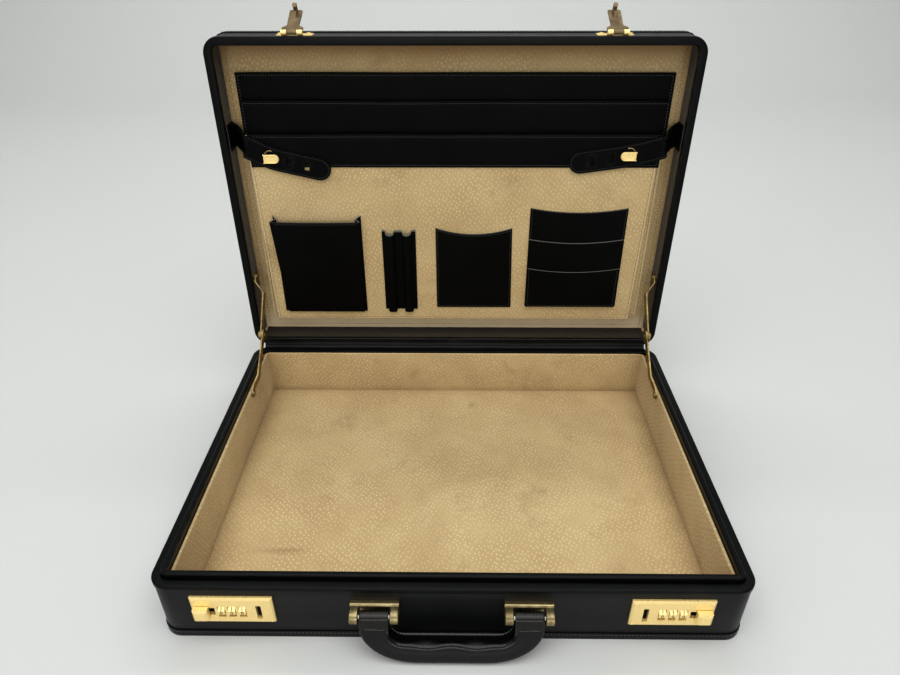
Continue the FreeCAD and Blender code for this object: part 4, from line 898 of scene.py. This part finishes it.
def flat_pockets():
    """The note pocket and the three overlapping card pockets, each with a dipped top edge."""
    low, high = box("note_pocket")
    outline = (lambda v: low.x + 0.5 * (1 - v), lambda v: high.x + 1.2 - 2.4 * v, lambda u: low.z,
               concave(high.z, 7.0))
    face = low.y + 0.9
    panel_leather("note_pocket_face", outline, face, 1.0, ["note_pocket"], 0.5, 0.35, 6.0)
    runs = [edge_run(outline, side, 2.0, face - 0.2) for side in ("top", "left", "right", "foot")]
    stitches("note_pocket_stitching", runs, *ORGANISER, pitch=2.6, radius=0.24)

    low, high = box("card_pockets")
    runs = []
    tiers = ((high.z, 5.0, ("left", "right")), (190.0, 4.6, ()), (156.0, 4.6, ("left", "right", "foot")))
    for tier, (top, dip, sewn) in enumerate(tiers):
        left, right = low.x + 0.3 * tier, high.x - 0.8 * tier
        outline = (lambda v, x=left: x, lambda v, x=right: x, lambda u: low.z, concave(top, dip))
        face = high.y - 1.15 - 1.25 * tier
        replaced, raw = ((), 0.7) if tier else (["card_pockets"], 0.3)
        panel_leather(f"card_pocket_tier_{tier + 1}", outline, face, 1.0, replaced, 0.35, raw, 7.0 + tier)
        runs += [edge_run(outline, side, 1.9, face - 0.2) for side in sewn]
    stitches("card_pocket_stitching", runs, *ORGANISER, pitch=2.6, radius=0.24)


# ---- straps


STUDS = {
    # side: stud x and height, slope of the strap in degrees, reach of its free end
    "left": (-184.5, 277.0, 13.0, 61.0),
    "right": (174.0, 280.0, 8.0, 60.0),
}


ROUND_THE_EDGE = (
    # a strap's way from the board's edge to the lid wall: x, depth behind its face, height
    (207.7, 0.15, 288.9), (208.9, 0.8, 289.4), (209.8, 2.0, 290.2), (210.8, 3.8, 291.3),
    (212.3, 6.0, 292.6), (214.4, 8.4, 294.1), (217.0, 10.8, 295.6), (219.4, 12.8, 296.6),
    (221.2, 14.6, 297.2), (222.0, 16.6, 297.4),
)


def strap(side):
    """A stitched leather strap from the lid wall, round the board's edge and over the band."""
    stud_x, stud_z, slope, reach = STUDS[side]
    sign = -1 if side == "left" else 1
    half, thick = 11.4, 1.6
    face = box("organiser_straps")[0].y + 0.1
    tilt = radians(slope)
    last = (abs(stud_x) - 206.5) / cos(tilt)
    rise = 288.5 - (stud_z - last * sin(tilt))
    line = []
    for k in range(31):
        s = reach + (last - reach) * k / 30
        lifted = rise * (max(0.0, 8 - s) / (8 - last)) ** 1.6
        line.append(Vector((stud_x - sign * s * cos(tilt), face, stud_z - s * sin(tilt) + lifted)))
    line += [Vector((sign * x, face + back, z)) for x, back, z in ROUND_THE_EDGE]
    spans = [0.0]
    for a, b in zip(line, line[1:]):
        spans.append(spans[-1] + (b - a).length)
    marks = [reach - s for s in (0, 18, 37)]
    holes = [(m - 2.5, m + 2.5, -4.4, 4.4) for m in marks]
    us = steps(0, spans[-1], 2.5, *[e for h in holes for e in h[:2]], 0.5, 1.5, 3.0)
    to_edge = [2, 4.4, 7, half - 2.6, half - 1.6, half - 0.8, half]
    vs = [-v for v in reversed(to_edge)] + [0] + to_edge

    def centre(s):
        for k in range(len(line) - 1):
            if s <= spans[k + 1] or k == len(line) - 2:
                return line[k].lerp(line[k + 1], (s - spans[k]) / (spans[k + 1] - spans[k]))

    def place(u, v):
        here = centre(u)
        along = (centre(min(u + 1.2, spans[-1])) - centre(max(u - 1.2, 0))).normalized()
        across = Vector((0, 0, 1)) - along * along.z
        across.normalize()
        out = along.cross(across) * sign
        width = sqrt(max(0.0, 1 - ((half - u) / half) ** 2)) if u < half else 1.0
        lift = 0.1 * wave(here.x, 0, here.z + v, 20, 4) - 0.18 * bell(half - abs(v), 2.0, 0.6)
        spot = here + across * v * width
        return spot + out * lift, spot - out * thick

    points, faces, uv = sheet(us, vs, place, holes)
    replaces = ["organiser_straps", "strap_anchors"] if side == "left" else []
    blend = ("organiser", "lid", (sign * 0.2095, 0.176, 0.29), (sign * 0.2215, 0.176, 0.29))
    make(f"{side}_strap", points, faces, None, "organiser_leather", replaces, uv, bevel=0.3, sharp=50,
         blend=blend)
    runs = []
    for turn in (-1, 1):
        run = [place(half + (spans[-1] - half - 8) * k / 60, turn * (half - 2.0))[0] for k in range(61)]
        runs.append((run, FACING))
    tip, along = centre(half), (centre(0) - centre(half)).normalized()
    across = along.cross(Vector((0, 1, 0)))
    tip += Vector((0, 0.05, 0))
    turns = [pi * k / 12 - pi / 2 for k in range(13)]
    runs.append(([tip + (along * cos(t) + across * sin(t)) * (half - 2.0) for t in turns], FACING))
    stitches(f"{side}_strap_stitching", runs, None, "organiser_leather", pitch=2.5, radius=0.26, blend=blend)

    wall = box("strap_anchors")[1].x
    low_z, high_z = box("strap_anchors")[0].z, box("strap_anchors")[1].z
    us = steps(178.5, 194.5, 4.0, 179.3, 193.7)
    vs = steps(low_z, high_z, 5.0, low_z + 0.8, high_z - 0.8)
    points, faces, uv = sheet(us, vs, lambda u, v: ((sign * (wall - 1.5), u, v), (sign * (wall - 0.1), u, v)))
    make(f"{side}_strap_tab", points, faces, "lid", "organiser_leather", uv=uv, bevel=0.3)


# ---- handle


PIN = Vector((0, -173.6, 38.5))
HANDLE_LEAN = radians(-13.6)


def handle_frame(p):
    """A point of the handle, given from the pins with the grip hanging straight down, where it belongs."""
    return Matrix.Rotation(HANDLE_LEAN, 3, "X") @ Vector(p) + PIN


FINGER = 38  # distance between the finger waves
THIN = 4.6 / 6.6  # thickness of the grip at the pins, as a share of its middle
LOOP_SWELL = ((47.45, 0.0), (47.9, 0.6), (49.0, 1.0), (54, 1.06), (58.3, 1.08), (63, 1.06), (67.7, 1.0),
              (68.8, 0.6), (69.2, 0.0))  # x across a loop, and how far it swells there


def handle():
    """The moulded grip with its finger waves and rear seam, and the leather loops on the pins."""
    low_z, top_z = -38.6, -20.6
    section = [(-3.6, 0.0), (-5.4, 0.02), (-6.2, 0.08), (-6.4, 0.2), (-6.4, 0.34), (-6.4, 0.48), (-6.6, 0.6),
               (-7.0, 0.7), (-6.9, 0.8), (-6.2, 0.9), (-4.8, 0.965), (-2.6, 0.995), (0.2, 1.0), (2.8, 0.985),
               (4.4, 0.96), (5.2, 0.99), (5.7, 1.035), (6.5, 1.035), (6.8, 0.96), (6.9, 0.8), (6.8, 0.6),
               (6.7, 0.4), (6.6, 0.2), (6.3, 0.08), (5.4, 0.02), (3.6, 0.0)]
    stations = []
    for k in range(17):
        turn = radians(90 * k / 16)
        outer = (-26.5 - 43 * cos(turn), -9 - 29.6 * sin(turn) ** 1.08)
        inner = (-35.4 - 12 * cos(turn), -8.6 - 12 * sin(turn))
        stations.append((outer, inner, 0.30 + 0.70 * (k / 16) ** 0.7))
    for k in range(1, 24):
        t = k / 24
        stations.append(((-26.5 + 53 * t, low_z), (-35.4 + 70.8 * t, top_z), 1.0))
    stations += [((-o[0], o[1]), (-i[0], i[1]), w) for o, i, w in reversed(stations[:17])]
    first, last = stations[0], stations[-1]
    stations = [((first[0][0], -5.5), (first[1][0], -5.5), 0.25), *stations,
                ((last[0][0], -5.5), (last[1][0], -5.5), 0.25)]
    rows = []
    for outer, inner, full in stations:
        row = []
        for y, w in section:
            x = outer[0] + (inner[0] - outer[0]) * w
            z = outer[1] + (inner[1] - outer[1]) * w
            if y < 0 and w > 0.5:
                ripple = cos(2 * pi * x / FINGER) * exp(-(x / 34) ** 6)
                z += 1.5 * ripple * (w - 0.5) * 2 * min(1.0, -y / 4)
            row.append(handle_frame((x, y * (THIN + (1 - THIN) * full), z)))
        rows.append(row)
    points, faces = loft(rows)
    make("handle_grip_pad", points, faces, "handle", "handle_leather", ["handle_grip"], sharp=60, subdivide=1)
    seam = []
    for _, (x, z), full in stations[6:-6]:
        seam.append(handle_frame((x, 5.0 * (0.7 + 0.3 * full), z + 0.2)))
    up = handle_frame((0, -0.6, 1)) - handle_frame((0, 0, 0))
    stitches("handle_stitching", [(seam, up)], "handle", "handle_leather", PALE_THREAD, 2.6, 0.36)

    for side in (-1, 1):
        profile = [(-4.75, -12.5), (-4.85, -9.0), (-4.8, -4.0)] + arc(4.75, range(180, -1, -15))
        profile += [(4.8, -4.0), (4.85, -9.0), (4.75, -12.5)]
        inner = [(3.3, -12.2), (3.3, -6.0), (2.1, -1.5)] + arc(2.06, range(0, 181, 30))
        inner += [(-2.1, -1.5), (-3.3, -6.0), (-3.3, -12.2)]
        rows = []
        for x, swell in LOOP_SWELL:
            row = []
            for index, (y, z) in enumerate(profile + inner):
                grow = (swell - 1) * 0.35 if index < len(profile) else 0
                if index < len(profile) and y < 0 and z > 1.5:
                    grow -= 0.35
                reach = hypot(y, max(z, 0)) or 1
                row.append(handle_frame((side * x, y + grow * y / reach, z + grow * max(z, 0) / reach)))
            rows.append(row)
        points, faces = bridge(rows)
        m, n = len(rows[0]), len(profile)
        share = (len(inner) - 1) / (n - 1)
        for start in (0, len(points) - m):
            for k in range(n - 1):
                a = start + m - 1 - min(len(inner) - 1, round(k * share))
                b = start + m - 1 - min(len(inner) - 1, round((k + 1) * share))
                faces.append([start + k, start + k + 1, b, a] if a != b else [start + k, start + k + 1, a])
        make(f"handle_loop_{'left' if side < 0 else 'right'}", points, faces, "handle", "handle_leather",
             ["handle_end_loops"] if side < 0 else (), material=MATERIALS["loop_leather"], sharp=60)


# ---- small metal details


def numerals():
    """Digits engraved and inked on the ten flats of each number wheel."""
    low, high = box("left_dial_2")
    axis_y, axis_z = (low.y + high.y) / 2, (low.z + high.z) / 2
    shapes = []
    for digit in range(10):
        curve = bpy.data.curves.new(f"digit_{digit}", "FONT")
        curve.body = str(digit)
        curve.extrude = 0.03
        curve.offset = 0.018
        holder = add_object(f"digit_{digit}", curve)
        bpy.context.view_layer.update()
        mesh = bpy.data.meshes.new_from_object(holder.evaluated_get(bpy.context.evaluated_depsgraph_get()))
        shapes.append(([v.co.copy() for v in mesh.vertices], [list(p.vertices) for p in mesh.polygons]))
        bpy.data.objects.remove(holder)
        bpy.data.curves.remove(curve)
        bpy.data.meshes.remove(mesh)
    flat_out = 6.0 * cos(radians(18))
    for side in ("left", "right"):
        for index in (1, 2, 3):
            low, high = box(f"{side}_dial_{index}")
            x = (low.x + high.x) / 2
            points, faces = [], []
            for digit, (corners, polygons) in enumerate(shapes):
                angle = radians(180 - 36 * digit)
                out = Vector((0, cos(angle), sin(angle)))
                up = Vector((0, sin(angle), -cos(angle)))
                xs, ys = [c.x for c in corners], [c.y for c in corners]
                middle = Vector(((min(xs) + max(xs)) / 2, (min(ys) + max(ys)) / 2))
                scale = 3.1 / (max(ys) - min(ys))
                base = len(points)
                spot = Vector((x, axis_y, axis_z)) + out * flat_out
                for c in corners:
                    across, rise = (c.x - middle.x) * scale, (c.y - middle.y) * scale
                    points.append(spot + Vector((across, 0, 0)) + up * rise + out * c.z * 1.2)
                faces += [[base + i for i in p] for p in polygons]
            name = f"{side}_dial_{index}"
            make(name + "_numerals", points, faces, name, "bright_brass", material=INK, sharp=20)


def tube(path, radius):
    """Rows of a round tube along a path, for loft()."""
    rows = []
    for k, p in enumerate(path):
        a, b = Vector(path[max(0, k - 1)]), Vector(path[min(len(path) - 1, k + 1)])
        along = (b - a).normalized()
        side = along.cross(Vector((0.13, 0.96, 0.21))).normalized()
        over = along.cross(side)
        turns = [2 * pi * q / 10 for q in range(10)]
        rows.append([Vector(p) + (side * cos(t) + over * sin(t)) * radius for t in turns])
    return rows


HOOK = (
    # the way of a turn button's hook: x from the stud, height, depth
    (-5.2, 3.6, 0.8), (-4.4, 5.6, 0.9), (-2.8, 7.2, 1.0), (-0.6, 8.2, 1.1), (1.6, 8.3, 1.2), (2.6, 7.6, 1.2),
)


def turn_button_details():
    """The raised rim round each turn button's head and the small hook that stands above it."""
    nose = 4.8
    for side, (x, z, *_) in STUDS.items():
        sign = 1 if side == "left" else -1
        low, high = box(f"{side}_turn_button")
        half = (high.z - low.z) / 2 - 0.7
        rim = [(-6.6, 0.2, half + 0.5), (-5.0, -0.1, half)] + [(k, -0.15, half) for k in (-2.5, 0.0, 2.5)]
        rim += [(nose + a, -0.15, b) for a, b in arc(half, range(90, -91, -15))]
        rim += [(k, -0.15, -half) for k in (2.5, 0.0, -2.5)] + [(-5.0, -0.1, -half), (-6.6, 0.2, -half - 0.5)]
        path = [(x + sign * a, low.y + back, z + up) for a, back, up in rim]
        points, faces = loft(tube(path, 0.62))
        make(f"{side}_turn_button_rim", points, faces, f"{side}_turn_button", "bright_brass", sharp=60)
        path = [(x + sign * a, low.y + back, z + up) for a, up, back in HOOK]
        points, faces = loft(tube(path, 0.6))
        make(f"{side}_turn_button_hook", points, faces, f"{side}_turn_button", "bright_brass",
             material=MATERIALS["stay_brass"], sharp=60)


def rim_lines():
    """The thin raised edges along both sides of the rims, made paler partly by rubbing and partly as a
    painted highlight.
    """
    def line(name, body, plan, spot, seed):
        def profile(px, py, ox, oy, along):
            shift = 0.16 * wave(along, 0, 0, 28, seed)
            radius = 0.34 + 0.08 * wave(along, 0, 0, 11, seed + 2)
            section = []
            for a, b in arc(radius, range(0, 360, 60)):
                section.append(spot(px + ox * (shift + a), py + oy * (shift + a), b))
            return section

        points, faces, _ = ring(plan, profile)
        # paler colour: rubbed wear together with a painted highlight line
        raw = [0.22 + 0.1 * wave(p[0], p[1], p[2], 9, seed) for p in points]
        make(name, points, faces, body, "rim_leather", raw=raw, sharp=180)

    low, high = box("tray_rim")
    z = high.z
    outer = rounded_plan(low.x + 0.9, high.x - 0.9, low.y + 0.9, high.y - 0.9, 15.2, 5.0, 10)
    line("tray_rim_outer_edge", "tray", outer, lambda x, y, b: (x, y, z - 0.75 + b), 1.0)
    low, high = box("lid_rim")
    y = low.y
    outer = rounded_plan(low.x + 0.9, high.x - 0.9, low.z + 0.9, high.z - 0.9, 15.2, 5.0, 10)
    line("lid_rim_outer_edge", "lid", outer, lambda x, z, b: (x, y + 0.75 + b, z), 2.0)
    inner = rounded_plan(low.x + 7.1, high.x - 7.1, low.z + 7.1, high.z - 7.1, 6.5, 5.0, 6)
    line("lid_rim_inner_edge", "lid", inner, lambda x, z, b: (x, y + 0.75 + b, z), 3.0)


# ---- stage


def room():
    """A room that is bright overhead and dim at eye level, dimmest behind the camera."""
    world = bpy.data.worlds.new("soft")
    world.use_nodes = True
    tree = world.node_tree
    coords = tree.nodes.new("ShaderNodeTexCoord")
    parts = tree.nodes.new("ShaderNodeSeparateXYZ")
    tree.links.new(coords.outputs["Generated"], parts.inputs[0])
    levels = []
    for axis, low, high, dark, light in (("Z", -0.1, 0.75, 0.10, 0.62), ("Y", -0.6, 0.5, 0.55, 1.25)):
        fit = tree.nodes.new("ShaderNodeMapRange")
        tree.links.new(parts.outputs[axis], fit.inputs["Value"])
        for key, value in (("From Min", low), ("From Max", high), ("To Min", dark), ("To Max", light)):
            fit.inputs[key].default_value = value
        levels.append(fit.outputs["Result"])
    product = tree.nodes.new("ShaderNodeMath")
    product.operation = "MULTIPLY"
    tree.links.new(levels[0], product.inputs[0])
    tree.links.new(levels[1], product.inputs[1])
    background = tree.nodes["Background"]
    background.inputs["Color"].default_value = (0.93, 0.97, 1.0, 1)
    tree.links.new(product.outputs[0], background.inputs["Strength"])
    scene.world = world


def stage():
    """A pale floor that sweeps up into the wall behind, soft overhead light and the camera."""
    profile = [(-3.0, 0.0), (1.6, 0.0)]
    for k in range(1, 13):
        turn = radians(90 * k / 12)
        profile.append((1.6 + 0.8 * sin(turn), 0.8 - 0.8 * cos(turn)))
    profile.append((2.4, 4.0))
    mesh = bpy.data.meshes.new("backdrop")
    points = [(x, y, z) for y, z in profile for x in (-4.0, 4.0)]
    mesh.from_pydata(points, [], [[2 * i, 2 * i + 1, 2 * i + 3, 2 * i + 2] for i in range(len(profile) - 1)])
    mesh.materials.append(paper("backdrop", (0.55, 0.56, 0.55)))
    mesh.shade_smooth()
    add_object("backdrop", mesh)

    room()
    lamps = (
        ("ceiling", (0.05, -0.6, 1.95), (2.2, 1.5), 27, (0, 0.1, 0.12)),
        ("window", (-1.7, -1.3, 1.5), (1.2, 1.2), 5, (0, 0, 0.1)),
        ("front", (0.0, -2.0, 0.5), (1.8, 0.7), 13, (0, 0.2, 0.2)),
        ("wall", (0.0, 1.1, 2.4), (3.0, 0.6), 33, (0, 2.4, 0.9)),
    )
    for name, place, size, power, aim in lamps:
        light = bpy.data.lights.new(name, "AREA")
        light.shape = "RECTANGLE"
        light.size, light.size_y = size
        light.energy = power
        light.color = (1.0, 0.985, 0.96)
        holder = add_object(name, light)
        holder.location = place
        holder.rotation_euler = (Vector(aim) - Vector(place)).to_track_quat("-Z", "Y").to_euler()

    lens = bpy.data.cameras.new("camera")
    lens.lens = 26.82
    lens.sensor_width = 36
    lens.clip_start = 0.01
    camera = add_object("camera", lens)
    yaw, down, roll = radians(0.68), radians(32.3), radians(-0.14)
    turn = Matrix.Rotation(yaw, 4, "Z") @ Matrix.Rotation(radians(90) - down, 4, "X")
    place = Matrix.Translation((0.002954, -0.486, 0.484))
    camera.matrix_world = place @ turn @ Matrix.Rotation(roll, 4, "Z")
    scene.camera = camera
    scene.view_settings.view_transform = "Standard"
    scene.view_settings.look = "Medium High Contrast"


tray_lining()
base_stitching()
hinge_cover()
lid_lining()
boards()
calculator_pocket()
pen_holder()
flat_pockets()
strap("left")
strap("right")
handle()
numerals()
turn_button_details()
rim_lines()
stage()
